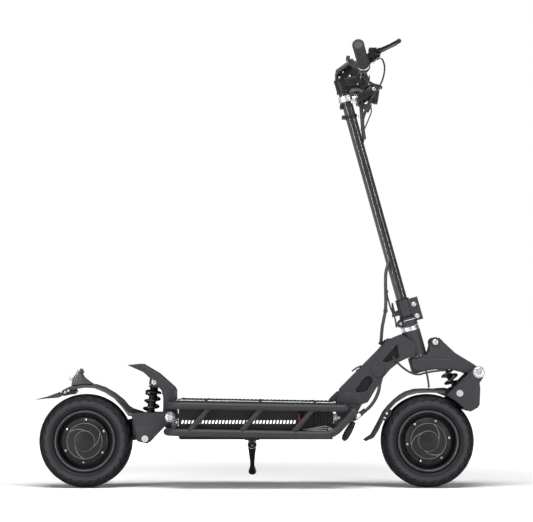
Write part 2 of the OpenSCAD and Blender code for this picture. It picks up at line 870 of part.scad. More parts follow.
module shock_body(top, low) {
    color(BLACK) on_shock(top, low) difference() {
        union() {
            rotate([90, 0, 0]) cylinder(r = eye_r, h = 2 * eye_half, center = true);
            translate([0, 0, -92]) cylinder(r = 12, h = 84);
            translate([0, 0, -34]) cylinder(r = spring_r, h = 5);
        }
        rotate([90, 0, 0]) cylinder(r = eye_bolt_r + fit, h = 60, center = true);
        translate([0, 0, -100]) cylinder(r = 6 + fit, h = 62);
    }
}

module shock_rod(top, low) {
    length = norm(top - low);
    color(SILVER) on_shock(top, low) difference() {
        union() {
            translate([0, 0, -length])
                rotate([90, 0, 0]) cylinder(r = eye_r, h = 2 * eye_half, center = true);
            translate([0, 0, -length + 8]) cylinder(r = 6, h = length - 8 - 56);
            translate([0, 0, -length + 10]) cylinder(r = 9, h = 12);
            translate([0, 0, -length + 20]) cylinder(r = spring_r, h = 5);
        }
        translate([0, 0, -length])
            rotate([90, 0, 0]) cylinder(r = eye_bolt_r + 2 * gap, h = 60, center = true);
    }
}

module spring(top, low) {
    length = norm(top - low);
    turns = 4.5;
    steps = 16;
    coil_r = spring_r - wire_r;
    height = length - 34 - 25 - 2 * wire_r - 1;
    color(BLACK) on_shock(top, low) translate([0, 0, -length + 25.5 + wire_r]) hose(
        [for (i = [0 : turns * steps]) let (a = i * 360 / steps)
            [coil_r * cos(a), coil_r * sin(a), height * i / (turns * steps)]], wire_r);
}

module front_shock_body() {
    shock_body(front_eye_top, front_eye_low);
}

module front_shock_rod() {
    shock_rod(front_eye_top, front_eye_low);
}

module rear_shock_body() {
    shock_body(rear_eye_top, rear_eye_low);
}

module rear_shock_rod() {
    shock_rod(rear_eye_top, rear_eye_low);
}

module front_spring() {
    spring(front_eye_top, front_eye_low);
}

module rear_spring() {
    spring(rear_eye_top, rear_eye_low);
}

upper_rails();
lower_rails();
neck_casting();
deck_plate();
deck_mat();
battery_case();
battery_pack();
controller_box();
underside_cover();
light_strips();
kick_plate();
frame_bolts();
headset_cups();
stand_bracket();
main_harness();
charge_cap();
kickstand_leg();
fork_crown();
steerer_tube();
fold_base();
fork_bolts();
control_cables();
stem_tube();
fold_sleeve();
stem_block();
handlebar();
grips();
brake_masters();
display_housing();
headlight_bracket();
bar_controls();
stem_bolts();
fold_latch();
brake_lever_left();
brake_lever_right();
throttle_paddle();
horn_button();
light_button();
headlight();
front_arm();
rear_arm();
front_axle();
rear_axle();
front_caliper();
rear_caliper();
front_fender();
rear_fender();
tail_light();
front_tyre();
rear_tyre();
front_hub();
rear_hub();
front_disc();
rear_disc();
front_shock_body();
front_shock_rod();
rear_shock_body();
rear_shock_rod();
front_spring();
rear_spring();
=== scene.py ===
# %% [markdown]
# # Electric kick scooter
# The scooter's structure is already fixed: tubes, castings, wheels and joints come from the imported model.
# This notebook gives it its looks. Castings get soft edges, plain wheels get treads and cooling fins, and
# every surface gets a finish made of shader nodes. First the model is loaded and its size is kept.

import json
import math

import bmesh
import bpy
from mathutils import Matrix, Vector


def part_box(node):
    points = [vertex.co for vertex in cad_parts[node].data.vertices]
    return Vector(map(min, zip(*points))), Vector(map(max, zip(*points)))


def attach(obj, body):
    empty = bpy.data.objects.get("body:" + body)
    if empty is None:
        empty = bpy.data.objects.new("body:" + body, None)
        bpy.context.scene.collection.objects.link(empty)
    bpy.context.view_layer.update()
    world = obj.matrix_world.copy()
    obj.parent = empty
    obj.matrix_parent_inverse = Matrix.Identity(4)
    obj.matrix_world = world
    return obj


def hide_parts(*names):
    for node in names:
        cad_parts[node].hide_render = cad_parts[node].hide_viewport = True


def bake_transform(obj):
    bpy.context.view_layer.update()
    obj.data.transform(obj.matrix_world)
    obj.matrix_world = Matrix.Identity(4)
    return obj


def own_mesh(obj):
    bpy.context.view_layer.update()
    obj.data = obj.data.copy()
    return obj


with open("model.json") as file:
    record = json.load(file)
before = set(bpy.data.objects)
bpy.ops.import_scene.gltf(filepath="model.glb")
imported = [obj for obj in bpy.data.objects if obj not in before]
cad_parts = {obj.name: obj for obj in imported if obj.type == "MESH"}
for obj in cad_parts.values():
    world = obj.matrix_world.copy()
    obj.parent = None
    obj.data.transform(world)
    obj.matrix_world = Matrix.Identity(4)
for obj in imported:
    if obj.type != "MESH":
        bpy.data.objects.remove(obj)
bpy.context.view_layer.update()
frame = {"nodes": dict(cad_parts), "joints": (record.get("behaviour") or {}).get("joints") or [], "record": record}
nodes = frame["nodes"]
record = frame["record"]
body_with = {node: body for body, members in record["behaviour"]["bodies"].items() for node in members}
slot_of = {part["node"]: part["material_slot"] for part in record["subparts"]}
joint = {j["name"]: j for j in frame["joints"]}

# %% [markdown]
# ## Camera
# Product pictures of a long object are taken from far away with a long lens, so that both wheels look alike.
# The camera stands 4.3 m to the scooter's right, low over the floor, and looks up a little. Tilting the
# camera instead of shifting its lens keeps other views simple.

# %% Camera
MM = 0.001
camera_data = bpy.data.cameras.new("camera")
camera_data.lens = 95.5
camera = bpy.data.objects.new("camera", camera_data)
bpy.context.scene.collection.objects.link(camera)
camera.location = (0.0204, -4.300, 0.343)
camera.rotation_euler = (math.radians(94.53), 0, 0)
bpy.context.scene.camera = camera
print("camera at", tuple(camera.location))

# %% [markdown]
# ## Floor and light
# The studio is white. One large plane is the floor, which glows more the further it is from the scooter, and a
# bright world stands in for the white walls.
# A wide softbox hangs over the scooter and two tall ones stand beside the camera. A dark, satin tube shows
# each tall softbox as a bright line along its length, which is what makes it read as round metal.

# %% Floor and studio light
FLOOR_SIZE = 60
FLOOR_GLOW = 0.03       # under the scooter; it rises to 1 further away, so the floor has no visible end
GLOW_RISES = (0.7, 2.3) # metres from the middle where the rise starts and ends
WALL_LIGHT = 0.09       # how much the white walls light the scooter; the camera sees them as pure white


def studio_material(name, colour, roughness):
    """A plain, even surface for the studio."""
    material = bpy.data.materials.new(name)
    material.use_nodes = True
    shader = material.node_tree.nodes["Principled BSDF"]
    shader.inputs["Base Color"].default_value = (*colour, 1)
    shader.inputs["Roughness"].default_value = roughness
    shader.inputs["Specular IOR Level"].default_value = 0.1
    return material


def softbox(name, place, target, width, height, power):
    """A rectangular area light that faces a point."""
    data = bpy.data.lights.new(name, "AREA")
    data.shape = "RECTANGLE"
    data.size = width
    data.size_y = height
    data.energy = power
    light = bpy.data.objects.new(name, data)
    bpy.context.scene.collection.objects.link(light)
    light.location = place
    light.rotation_euler = (Vector(target) - Vector(place)).to_track_quat("-Z", "Y").to_euler()


floor_form = bmesh.new()
bmesh.ops.create_grid(floor_form, x_segments=1, y_segments=1, size=FLOOR_SIZE / 2)
floor_mesh = bpy.data.meshes.new("floor")
floor_form.to_mesh(floor_mesh)
floor_form.free()
floor = bpy.data.objects.new("floor", floor_mesh)
floor.data.materials.append(studio_material("studio_floor", (0.9, 0.9, 0.9), 0.9))
tree = floor.data.materials[0].node_tree
spot = tree.nodes.new("ShaderNodeTexCoord")
away = tree.nodes.new("ShaderNodeVectorMath")
away.operation = "LENGTH"
glow = tree.nodes.new("ShaderNodeMapRange")
glow.interpolation_type = "SMOOTHSTEP"
for name, value in (("From Min", GLOW_RISES[0]), ("From Max", GLOW_RISES[1]), ("To Min", FLOOR_GLOW),
                    ("To Max", 1.0)):
    glow.inputs[name].default_value = value
tree.links.new(spot.outputs["Object"], away.inputs[0])
tree.links.new(away.outputs["Value"], glow.inputs["Value"])
tree.links.new(glow.outputs["Result"], tree.nodes["Principled BSDF"].inputs["Emission Color"])
tree.nodes["Principled BSDF"].inputs["Emission Strength"].default_value = 1.0
bpy.context.scene.collection.objects.link(floor)

world = bpy.data.worlds.new("studio")
bpy.context.scene.world = world
world.use_nodes = True
sky = world.node_tree
seen = sky.nodes.new("ShaderNodeLightPath")
strength = sky.nodes.new("ShaderNodeMapRange")
strength.inputs["To Min"].default_value = WALL_LIGHT
strength.inputs["To Max"].default_value = 1.0
sky.links.new(seen.outputs["Is Camera Ray"], strength.inputs["Value"])
sky.links.new(strength.outputs["Result"], sky.nodes["Background"].inputs["Strength"])
sky.nodes["Background"].inputs["Color"].default_value = (1, 1, 1, 1)
bpy.context.scene.view_settings.view_transform = "Standard"

softbox("overhead", (-0.1, -1.1, 3.0), (0.05, 0.2, 0.2), 2.4, 1.2, 128)
softbox("left_tall", (-2.3, -2.4, 1.1), (0, 0, 0.6), 0.10, 2.2, 44)
softbox("right_tall", (2.4, -2.0, 1.1), (0.2, 0, 0.6), 0.09, 2.2, 32)
print("studio ready")

# %% [markdown]
# ## Finishes as expressions
# A shader is a small calculation, so it is easier to read as one. `Wire` wraps a socket, and adding or
# multiplying wires adds the Math nodes. `Finish` is one material: `add` makes any other node.

# %% Shader expressions


class Wire:
    """One output socket, on which Python's operators add Math nodes."""

    def __init__(self, finish, socket):
        self.finish = finish
        self.socket = socket

    def math(self, operation, a, b=0.0):
        return self.finish.add("ShaderNodeMath", {"operation": operation}, {0: a, 1: b})

    def __add__(self, other):
        return self.math("ADD", self, other)

    def __sub__(self, other):
        return self.math("SUBTRACT", self, other)

    def __rsub__(self, other):
        return self.math("SUBTRACT", other, self)

    def __mul__(self, other):
        return self.math("MULTIPLY", self, other)

    __radd__ = __add__


class Finish:
    """One material of the scooter, with the nodes that make it."""

    def __init__(self, name):
        self.material = bpy.data.materials.new(name)
        self.material.use_nodes = True
        self.tree = self.material.node_tree
        self.shader = self.tree.nodes["Principled BSDF"]
        self.place = self.add("ShaderNodeTexCoord", output="Object")

    def feed(self, socket, value):
        if isinstance(value, Wire):
            self.tree.links.new(value.socket, socket)
        else:
            socket.default_value = value

    def add(self, kind, settings=None, inputs=None, output=0):
        node = self.tree.nodes.new(kind)
        for name, value in (settings or {}).items():
            if name == "stops":
                while len(node.color_ramp.elements) < len(value):
                    node.color_ramp.elements.new(0.5)
                for stop, (at, shade) in zip(node.color_ramp.elements, value):
                    stop.position = at
                    stop.color = (shade, shade, shade, 1)
            else:
                setattr(node, name, value)
        for name, value in (inputs or {}).items():
            self.feed(node.inputs[name], value)
        return Wire(self, node.outputs[output])

    def noise(self, scale, detail=2.0, stretch=(1, 1, 1)):
        spot = self.add("ShaderNodeMapping", inputs={"Vector": self.place, "Scale": stretch})
        return self.add("ShaderNodeTexNoise", inputs={"Vector": spot, "Scale": scale, "Detail": detail})

    def math_all(self, *tests):
        """One where every comparison holds, and nought elsewhere."""
        result = 1.0
        for operation, a, b in tests:
            result = self.add("ShaderNodeMath", {"operation": operation}, {0: a, 1: b}) * result
        return result

    def mix(self, factor, dark, light):
        return self.add("ShaderNodeMix", {"data_type": "RGBA"}, {0: factor, 6: (*dark, 1), 7: (*light, 1)}, 2)

    def bump(self, height, depth, strength=1.0):
        return self.add("ShaderNodeBump", inputs={"Height": height, "Distance": depth, "Strength": strength})

    def surface(self, **values):
        for name, value in values.items():
            self.feed(self.shader.inputs[name.replace("_", " ")], value)
        return self.material


def shade(colour, factor):
    return tuple(c * factor for c in colour)


print("shader helpers ready")

# %% [markdown]
# ## The scooter's finishes
# Powder coat has a fine pebbled skin and a soft sheen. Cast black parts are duller, anodised tubes are
# smoother and catch the light in lines, and rubber is dusty. Each function builds one kind of finish, and
# the colours come from the real one's range of near-blacks, which differ more than one first thinks.

# %% Paint, metal and rubber


def powder_coat(name, colour, gloss=0.45, grain=1400):
    """Baked paint: fine pebbles that the light breaks on, and slow changes in tone and sheen."""
    f = Finish(name)
    slow = f.noise(9, 3)
    pebbles = f.noise(grain, 2)
    tone = f.mix(slow, shade(colour, 0.86), shade(colour, 1.16))
    f.shader.inputs["Specular IOR Level"].default_value = 0.25
    return f.surface(Base_Color=tone, Roughness=gloss + (slow - 0.5) * 0.16,
                     Normal=f.bump(pebbles, 0.12 * MM, 0.45))


def anodised(name, colour, gloss=0.3):
    """Smooth dark tube with drawing marks that run round it."""
    f = Finish(name)
    marks = f.noise(60, 4, (4, 4, 40))
    slow = f.noise(6, 2)
    return f.surface(Base_Color=f.mix(slow, shade(colour, 0.85), shade(colour, 1.2)), Metallic=0.55,
                     Roughness=gloss + (marks - 0.5) * 0.12, Normal=f.bump(marks, 0.03 * MM, 0.4))


def bright_metal(name, colour, gloss=0.25):
    """Bare turned steel or alloy with fine machining lines."""
    f = Finish(name)
    lines = f.noise(240, 3, (1, 6, 1))
    smudge = f.noise(40, 3)
    return f.surface(Base_Color=f.mix(smudge, shade(colour, 0.8), colour), Metallic=1.0,
                     Roughness=gloss + smudge * 0.18, Normal=f.bump(lines, 0.05 * MM, 0.5))


def rubber(name, colour, gloss=0.7, grain=700):
    """Moulded rubber: matt, a little dusty, with a leathery grain."""
    f = Finish(name)
    dust = f.noise(14, 5)
    grains = f.noise(grain, 3)
    f.shader.inputs["Specular IOR Level"].default_value = 0.3
    return f.surface(Base_Color=f.mix(dust, colour, shade(colour, 1.7)), Roughness=gloss + (dust - 0.5) * 0.2,
                     Normal=f.bump(grains, 0.15 * MM, 0.5))


def tyre_rubber(name, axle, dark, pale_sheen_and_dust):
    """Tyre rubber with painted light: pale bands are painted highlights where the sidewall bulges and at the bead,
    the nearly black bands between are painted shade, slanted grooves near the tread get painted shade, and noise
    adds dust.
    """
    f = Finish(name)
    out = f.add("ShaderNodeVectorMath", {"operation": "SUBTRACT"}, {0: f.place, 1: axle})
    flat = f.add("ShaderNodeVectorMath", {"operation": "MULTIPLY"}, {0: out, 1: (1, 0, 1)})
    radius = f.add("ShaderNodeVectorMath", {"operation": "LENGTH"}, {0: flat}, 1)
    # Painted highlight and shade: bands by radius, pale where the sidewall bulges and at the bead, dark between.
    rings = [(0, 0.9), (0.06, 0.9), (0.1, 0.0), (0.16, 0.0), (0.2, 0.5), (0.28, 0.25), (0.36, 0.75),
             (0.54, 1.0),
             (0.62, 0.5), (0.72, 0.16), (1, 0.08)]
    level = f.add("ShaderNodeMapRange", inputs={"Value": radius, "From Min": 88 * MM, "From Max": 140 * MM})
    band = f.add("ShaderNodeValToRGB", {"stops": rings}, {"Fac": level})
    part = f.add("ShaderNodeSeparateXYZ", inputs={0: out})
    part_z = Wire(f, part.socket.node.outputs["Z"])
    turn = f.add("ShaderNodeMath", {"operation": "ARCTAN2"}, {0: part_z, 1: part}) * (26 / math.tau)
    cut = f.add("ShaderNodeMath", {"operation": "FRACT"}, {0: turn + radius * 42})
    # Painted shade: slanted grooves near the tread are darkened.
    groove = f.math_all(("LESS_THAN", cut, 0.16), ("GREATER_THAN", radius, 117 * MM))
    dust = f.noise(18, 6)
    grains = f.noise(420, 3)
    f.shader.inputs["Specular IOR Level"].default_value = 0.12
    tone = band * (dust * 0.9 + 0.55) * (1 - groove * 0.95)
    return f.surface(Base_Color=f.mix(tone, dark, pale_sheen_and_dust), Roughness=0.5 + dust * 0.22,
                     Normal=f.bump(grains, 0.2 * MM, 0.5))


def moulded_plastic(name, colour, gloss=0.5):
    """Spark-eroded plastic skin, finer and more even than paint."""
    f = Finish(name)
    skin = f.noise(2200, 1)
    slow = f.noise(12, 2)
    return f.surface(Base_Color=f.mix(slow, shade(colour, 0.85), shade(colour, 1.2)),
                     Roughness=gloss + (slow - 0.5) * 0.14, Normal=f.bump(skin, 0.08 * MM, 0.5))


def gloss_plastic(name, colour, gloss=0.12):
    """Polished plastic with fine handling marks."""
    f = Finish(name)
    marks = f.noise(90, 5)
    return f.surface(Base_Color=f.mix(marks, shade(colour, 0.9), colour), Roughness=gloss + marks * 0.12,
                     Coat_Weight=0.4)


def glowing_lens(name, colour, glow):
    """A diffuser over light diodes, brighter where a diode sits behind it."""
    f = Finish(name)
    spots = f.noise(160, 1)
    f.shader.inputs["Emission Strength"].default_value = glow
    return f.surface(Base_Color=f.mix(spots, shade(colour, 0.8), colour), Roughness=0.2 + spots * 0.1,
                     Emission_Color=f.mix(spots, shade(colour, 0.7), colour))


def clear_lens(name, tint):
    """Clear moulded lens with a prismatic pattern."""
    f = Finish(name)
    prisms = f.noise(500, 0)
    f.shader.inputs["Transmission Weight"].default_value = 0.55
    f.shader.inputs["IOR"].default_value = 1.49
    return f.surface(Base_Color=f.mix(prisms, shade(tint, 0.85), tint), Roughness=0.08 + prisms * 0.15,
                     Normal=f.bump(prisms, 0.3 * MM, 0.4))


def woven_sleeve(name, colour):
    """Braided sleeve on a cable: crossed bands that stand proud."""
    f = Finish(name)
    ribs = f.add("ShaderNodeTexWave", {"wave_type": "BANDS", "bands_direction": "DIAGONAL"},
                 {"Vector": f.place, "Scale": 90.0, "Distortion": 1.5}, 1)
    return f.surface(Base_Color=f.mix(ribs, shade(colour, 0.5), shade(colour, 2.2)), Roughness=0.5 + ribs * 0.2,
                     Normal=f.bump(ribs, 0.4 * MM, 0.6))


FINISHES = {
    "charcoal_paint": powder_coat("charcoal_powder_coat", (0.029, 0.029, 0.033), 0.5),
    "motor_casting": powder_coat("motor_powder_coat", (0.012, 0.012, 0.013), 0.42),
    "black_casting": powder_coat("black_powder_coat", (0.009, 0.009, 0.010), 0.4),
    "black_tube": anodised("black_anodised_tube", (0.050, 0.050, 0.055), 0.11),
    "rubber": rubber("moulded_rubber", (0.010, 0.010, 0.011)),
    "tyre": rubber("plain_tyre_rubber", (0.016, 0.016, 0.017), 0.62, 500),
    "black_plastic": moulded_plastic("black_moulded_plastic", (0.012, 0.012, 0.013)),
    "steel": bright_metal("zinc_plated_steel", (0.72, 0.72, 0.74)),
    "silver_alloy": bright_metal("satin_alloy", (0.80, 0.80, 0.82), 0.3),
    "spring_paint": gloss_plastic("gloss_black_spring_paint", (0.010, 0.010, 0.011)),
    "cable": moulded_plastic("cable_jacket", (0.013, 0.013, 0.014), 0.42),
    "cells": gloss_plastic("blue_cell_sleeve", (0.05, 0.12, 0.42)),
    "light_lens": clear_lens("clear_light_lens", (0.92, 0.92, 0.92)),
    "red_button": gloss_plastic("red_button_plastic", (0.6, 0.02, 0.02)),
    "grey_button": gloss_plastic("grey_button_plastic", (0.3, 0.3, 0.31)),
}
FENDER = moulded_plastic("grey_fender_plastic", (0.036, 0.036, 0.040), 0.45)
# Painted highlight: pale grey colour on the motor's raised ribs, where they catch the light.
RIB_HIGHLIGHT = powder_coat("rib_painted_highlight", (0.15, 0.15, 0.16), 0.3)
RED = gloss_plastic("red_anodised", (0.62, 0.02, 0.02))
SCREEN = gloss_plastic("display_glass", (0.006, 0.006, 0.008), 0.03)
GLOW = glowing_lens("white_light_diodes", (1.0, 1.0, 1.0), 0.9)
SLEEVE = woven_sleeve("braided_sleeve", (0.016, 0.016, 0.018))
DARK = moulded_plastic("shadow_black", (0.006, 0.006, 0.006), 0.6)
for name, node in nodes.items():
    node.data.materials.clear()
    node.data.materials.append(FINISHES[slot_of[name]])
print("finishes ready")

# %% [markdown]
# ## Modelling helpers
# Most pieces come from four moves: a profile spun round an axis, an outline given thickness, a ring swept
# along a route, or a copy of a CAD casting with its edges rounded. Each move is one function here.

# %% Helpers that make shapes
SMOOTH_BELOW = math.radians(35)     # faces that meet at less than this are shaded as one surface
ROUND_ABOVE = math.radians(28)      # edges sharper than this are rounded


def turned(form, profile, centre, axis=(0, 1, 0), steps=64):
    """Spins (radius, height) points round an axis through centre, and returns the new points."""
    before = set(form.verts)
    line = [form.verts.new((r, 0, h)) for r, h in profile]
    edges = [form.edges.new(pair) for pair in zip(line, line[1:])]
    bmesh.ops.spin(form, geom=line + edges, axis=(0, 0, 1), angle=math.tau, steps=steps, use_merge=True)
    made = [v for v in form.verts if v not in before]
    bmesh.ops.remove_doubles(form, verts=made, dist=1e-6)
    made = [v for v in form.verts if v not in before]
    turn = Vector((0, 0, 1)).rotation_difference(Vector(axis)).to_matrix().to_4x4()
    bmesh.ops.transform(form, matrix=Matrix.Translation(centre) @ turn, verts=made)
    faces = list({face for v in made for face in v.link_faces})
    bmesh.ops.recalc_face_normals(form, faces=faces)
    return made


def plate(form, outline, y0, y1, soft=0.0, segments=2):
    """An outline of (x, z) points made thick from y0 to y1, with its rims rounded by soft."""
    before = set(form.verts)
    rim = [form.verts.new((x, y0, z)) for x, z in outline]
    face = form.faces.new(rim)
    grown = bmesh.ops.extrude_face_region(form, geom=[face])["geom"]
    moved = [g for g in grown if isinstance(g, bmesh.types.BMVert)]
    bmesh.ops.translate(form, vec=(0, y1 - y0, 0), verts=moved)
    made = [v for v in form.verts if v not in before]
    faces = list({face for v in made for face in v.link_faces})
    bmesh.ops.recalc_face_normals(form, faces=faces)
    if soft:
        edges = list({e for v in made for e in v.link_edges if e.calc_face_angle(0) > math.radians(20)})
        bmesh.ops.bevel(form, geom=edges, offset=soft, segments=segments, profile=0.5, affect="EDGES",
                        material=-1, clamp_overlap=True)
        made = [v for v in form.verts if v not in before]
    return made


def box(form, low, high, soft=0.0):
    """A block between two corners, with rounded edges."""
    outline = [(low[0], low[2]), (high[0], low[2]), (high[0], high[2]), (low[0], high[2])]
    return plate(form, outline, low[1], high[1], soft)


def eased(points, steps=5):
    """A smooth route through a few points, as a rod bends through its clips."""
    points = [Vector(p) for p in points]
    route = [points[0]]
    for i in range(len(points) - 1):
        a = points[max(i - 1, 0)]
        b, c = points[i], points[i + 1]
        d = points[min(i + 2, len(points) - 1)]
        for k in range(1, steps + 1):
            t = k / steps
            route.append(0.5 * (2 * b + (c - a) * t + (2 * a - 5 * b + 4 * c - d) * t**2
                                + (3 * b - a - 3 * c + d) * t**3))
    return route


def swept(form, route, radius, sides=10, capped=True):
    """A tube along a route. radius is a number, or a function of the share of the way."""
    before = set(form.verts)
    last = len(route) - 1
    ahead = [(route[min(i + 1, last)] - route[max(i - 1, 0)]).normalized() for i in range(last + 1)]
    turn = Vector((0, 0, 1)).rotation_difference(ahead[0])
    stations = []
    for i, point in enumerate(route):
        if i:
            turn = ahead[i - 1].rotation_difference(ahead[i]) @ turn
        size = radius(i / last) if callable(radius) else radius
        stations.append(Matrix.LocRotScale(point, turn, (size, size, size)))
    ring = bmesh.ops.create_circle(form, segments=sides, radius=1, matrix=stations[0])["verts"]
    edges = list({e for v in ring for e in v.link_edges})
    first_rim = edges
    for old, new in zip(stations, stations[1:]):
        grown = bmesh.ops.extrude_edge_only(form, edges=edges)["geom"]
        ring = [g for g in grown if isinstance(g, bmesh.types.BMVert)]
        edges = [g for g in grown if isinstance(g, bmesh.types.BMEdge)]
        bmesh.ops.transform(form, matrix=new @ old.inverted(), verts=ring)
    if capped:
        bmesh.ops.edgeloop_fill(form, edges=first_rim)
        bmesh.ops.edgeloop_fill(form, edges=edges)
    made = [v for v in form.verts if v not in before]
    bmesh.ops.recalc_face_normals(form, faces=list({face for v in made for face in v.link_faces}))
    return made


def loft(form, rings):
    """A closed skin through equal rings of points, with a flat cap at each end."""
    loops = [[form.verts.new(p) for p in ring] for ring in rings]
    faces = [form.faces.new(loops[0]), form.faces.new(loops[-1])]
    for a, b in zip(loops, loops[1:]):
        for i in range(len(a)):
            k = (i + 1) % len(a)
            faces.append(form.faces.new((a[i], a[k], b[k], b[i])))
    bmesh.ops.recalc_face_normals(form, faces=faces)
    return [v for loop in loops for v in loop]


def bolt(form, centre, axis, radius, height, steps=36):
    """A button-head screw with a six-lobed socket, whose head stands along axis from centre."""
    socket_r = 0.45 * radius
    profile = [(radius, 0), (radius, 0.25 * height), (0.93 * radius, 0.6 * height),
               (0.78 * radius, 0.88 * height),
               (0.55 * radius, height), (socket_r, 0.97 * height), (socket_r, 0.3 * height), (0, 0.3 * height)]
    made = turned(form, profile, centre, axis, steps)
    axis = Vector(axis).normalized()
    side = axis.orthogonal().normalized()
    across = axis.cross(side)
    for v in made:
        out = v.co - Vector(centre)
        out -= axis * out.dot(axis)
        if 0 < out.length < 1.02 * socket_r:
            lobe = math.atan2(out.dot(across), out.dot(side))
            v.co += out * 0.16 * math.cos(6 * lobe)
    return made


def settle(name, form, finish, body, stands_for=()):
    """Makes a bmesh into a finished piece that rides on a body."""
    mesh = bpy.data.meshes.new(name)
    form.to_mesh(mesh)
    form.free()
    mesh.shade_smooth()
    mesh.set_sharp_from_angle(angle=SMOOTH_BELOW)
    mesh.materials.append(finish)
    piece = bpy.data.objects.new(name, mesh)
    bpy.context.scene.collection.objects.link(piece)
    if body:
        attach(piece, body)
    if stands_for:
        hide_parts(*stands_for)
    print(f"{name}: {len(mesh.polygons)} faces")
    return piece


def settle_mm(name, form, finish, body, slot, *stands_for):
    """The same for a bmesh whose points are written in millimetres."""
    bmesh.ops.scale(form, vec=(MM, MM, MM), verts=form.verts)
    return settle(name, form, finish, body, stands_for)


def coated(name, form, slot, body, *stands_for):
    """The same for a piece with the usual finish of its slot."""
    return settle_mm(name, form, FINISHES[slot], body, slot, *stands_for)


def softened(node, width, segments=3, finish=None, facets=()):
    """A copy of a CAD casting with its sharp edges rounded, which stands for the casting.

    Each facet is (start, end, size): the outline's edges along that line get a wide flat chamfer first.
    """
    form = bmesh.new()
    form.from_mesh(nodes[node].data)
    bmesh.ops.remove_doubles(form, verts=form.verts, dist=1e-5)
    bmesh.ops.dissolve_limit(form, angle_limit=math.radians(1), verts=form.verts, edges=form.edges)
    for start, end, size in facets:
        start, end = Vector(start) * MM, Vector(end) * MM
        line = (end - start).normalized()
        chosen = []
        for edge in form.edges:
            flat = [Vector((v.co.x, v.co.z)) - start for v in edge.verts]
            beyond = (end - start).length + MM
            if all(abs(p.cross(line)) < 0.6 * MM and -MM < p.dot(line) < beyond for p in flat):
                if abs(edge.verts[0].co.y - edge.verts[1].co.y) < 1e-5 and edge.calc_length() > 2 * MM:
                    chosen.append(edge)
        bmesh.ops.bevel(form, geom=chosen, offset=size * MM, segments=1, affect="EDGES", clamp_overlap=True)
    piece = settle(node + "_soft", form, finish or FINISHES[slot_of[node]], body_with[node],
                   [node])
    edge = piece.modifiers.new("rounded_edges", "BEVEL")
    edge.width = width
    edge.segments = segments
    edge.limit_method = "ANGLE"
    edge.angle_limit = ROUND_ABOVE
    return piece


print("modelling helpers ready")

# %% [markdown]
# ## Castings
# The cast and milled parts already have their real outlines. What is missing is the radius that every real
# edge has, so each is copied and its edges are rounded with a Bevel modifier, which keeps the faces flat.

# %% Round the castings' edges
SOFT_EDGES = {
    "neck_casting": 2.5, "fork_crown": 3.0, "kick_plate": 2.0, "front_arm": 2.2, "rear_arm": 2.2,
    "fold_base": 1.0, "fold_sleeve": 1.4, "stem_block": 2.5, "brake_masters": 1.2, "display_housing": 2.5,
    "bar_controls": 2.0, "controller_box": 1.0, "battery_case": 2.0,
    "underside_cover": 1.2, "stand_bracket": 1.0, "kickstand_leg": 1.2, "fold_latch": 1.2,
    "brake_lever_left": 2.2, "brake_lever_right": 2.2, "throttle_paddle": 2.0, "front_caliper": 2.5,
    "rear_caliper": 2.5, "horn_button": 1.0, "light_button": 1.0, "charge_cap": 0.8, "deck_plate": 1.2,
}
FACETS = {
    "neck_casting": [((243, 297), (359.6, 414), 9), ((359.6, 414), (383, 442), 7)],
    "kick_plate": [((-354, 371), (-306, 343), 5), ((-306, 343), (-259, 302), 5)],
    "front_arm": [((641, 356), (562, 279), 4)],
}
for node, width in SOFT_EDGES.items():
    softened(node, width * MM, facets=FACETS.get(node, ()))

# %% [markdown]
# ## Tyres
# A tyre is a cross-section spun round the axle. The tread is cut by moving points, not by carving: the spin
# has one column of points for each edge of a groove, so a groove is simply a pair of sunken columns. Twisting
# the columns more and more towards the shoulder bends every groove into the curved slash of a road tyre.

# %% Tyres with curved tread grooves
TREAD_REPEATS = 22
GROOVE_COLUMNS = (0, 1.3, 4.3, 5.6, 8.2, 10.8, 13.4)     # degrees within one repeat, before scaling
GROOVE_DEPTH = 4.5 * MM
TWIST = math.radians(17)
SHOULDER = 41 * MM
TYRE_SECTION = [(87.2, 30), (87.6, 35), (90.5, 37.6), (92.4, 37.6), (93.2, 39.2), (95.2, 39.2), (96.2, 38.4),
                (100, 41.0), (103.4, 42.6), (104, 43.7), (105.8, 43.9), (106.6, 43.3), (110, 44.3),
                (115, 44.95), (119, 44.7), (122, 43.9), (123.2, 44.3), (124.6, 43.9), (125.6, 42.6),
                (128, 41.2), (130.6, 39.0), (132.8, 36.2), (134.8, 32.8), (136.6, 28.4), (138, 23.6),
                (139, 18.5), (139.6, 13), (139.9, 8.2), (139.95, 6.6), (138.2, 6.2), (138.2, 4.6),
                (139.95, 4.2)]


def tyre(node):
    side = [(r * MM, y * MM) for r, y in TYRE_SECTION]
    profile = side + [(r, -y) for r, y in reversed(side)]
    columns = len(GROOVE_COLUMNS)
    steps = TREAD_REPEATS * columns
    form = bmesh.new()
    turned(form, profile, (0, 0, 0), (0, 0, 1), steps)
    repeat = math.tau / TREAD_REPEATS
    full = GROOVE_COLUMNS[-1] + 2.6
    for v in form.verts:
        r = math.hypot(v.co.x, v.co.y)
        index = round(math.atan2(v.co.y, v.co.x) / math.tau * steps) % steps
        angle = (index // columns + GROOVE_COLUMNS[index % columns] / full) * repeat
        reach = abs(v.co.z) / SHOULDER
        outer = max(0.0, (r - 120 * MM) / (20 * MM))
        angle += TWIST * reach**1.6 + (1 - outer) * 0.12 * (r > 105 * MM)
        if index % columns in (1, 2) and reach > 0.24 and r > 124.8 * MM:
            fade = min(1.0, (r - 124.4 * MM) / (3.4 * MM)) * min(1.0, (reach - 0.2) / 0.15)
            r -= GROOVE_DEPTH * fade
        v.co.x = r * math.cos(angle)
        v.co.y = r * math.sin(angle)
    wheel = joint["front_wheel_spin" if node == "front_tyre" else "rear_wheel_spin"]["pos_m"]
    form.transform(Matrix.Translation(wheel) @ Matrix.Rotation(math.radians(-90), 4, "X"))
    finish = tyre_rubber(node + "_rubber", wheel, (0.003, 0.003, 0.004), (0.040, 0.040, 0.045))
    settle(node + "_tread", form, finish, body_with[node], [node])


for node in ("front_tyre", "rear_tyre"):
    tyre(node)

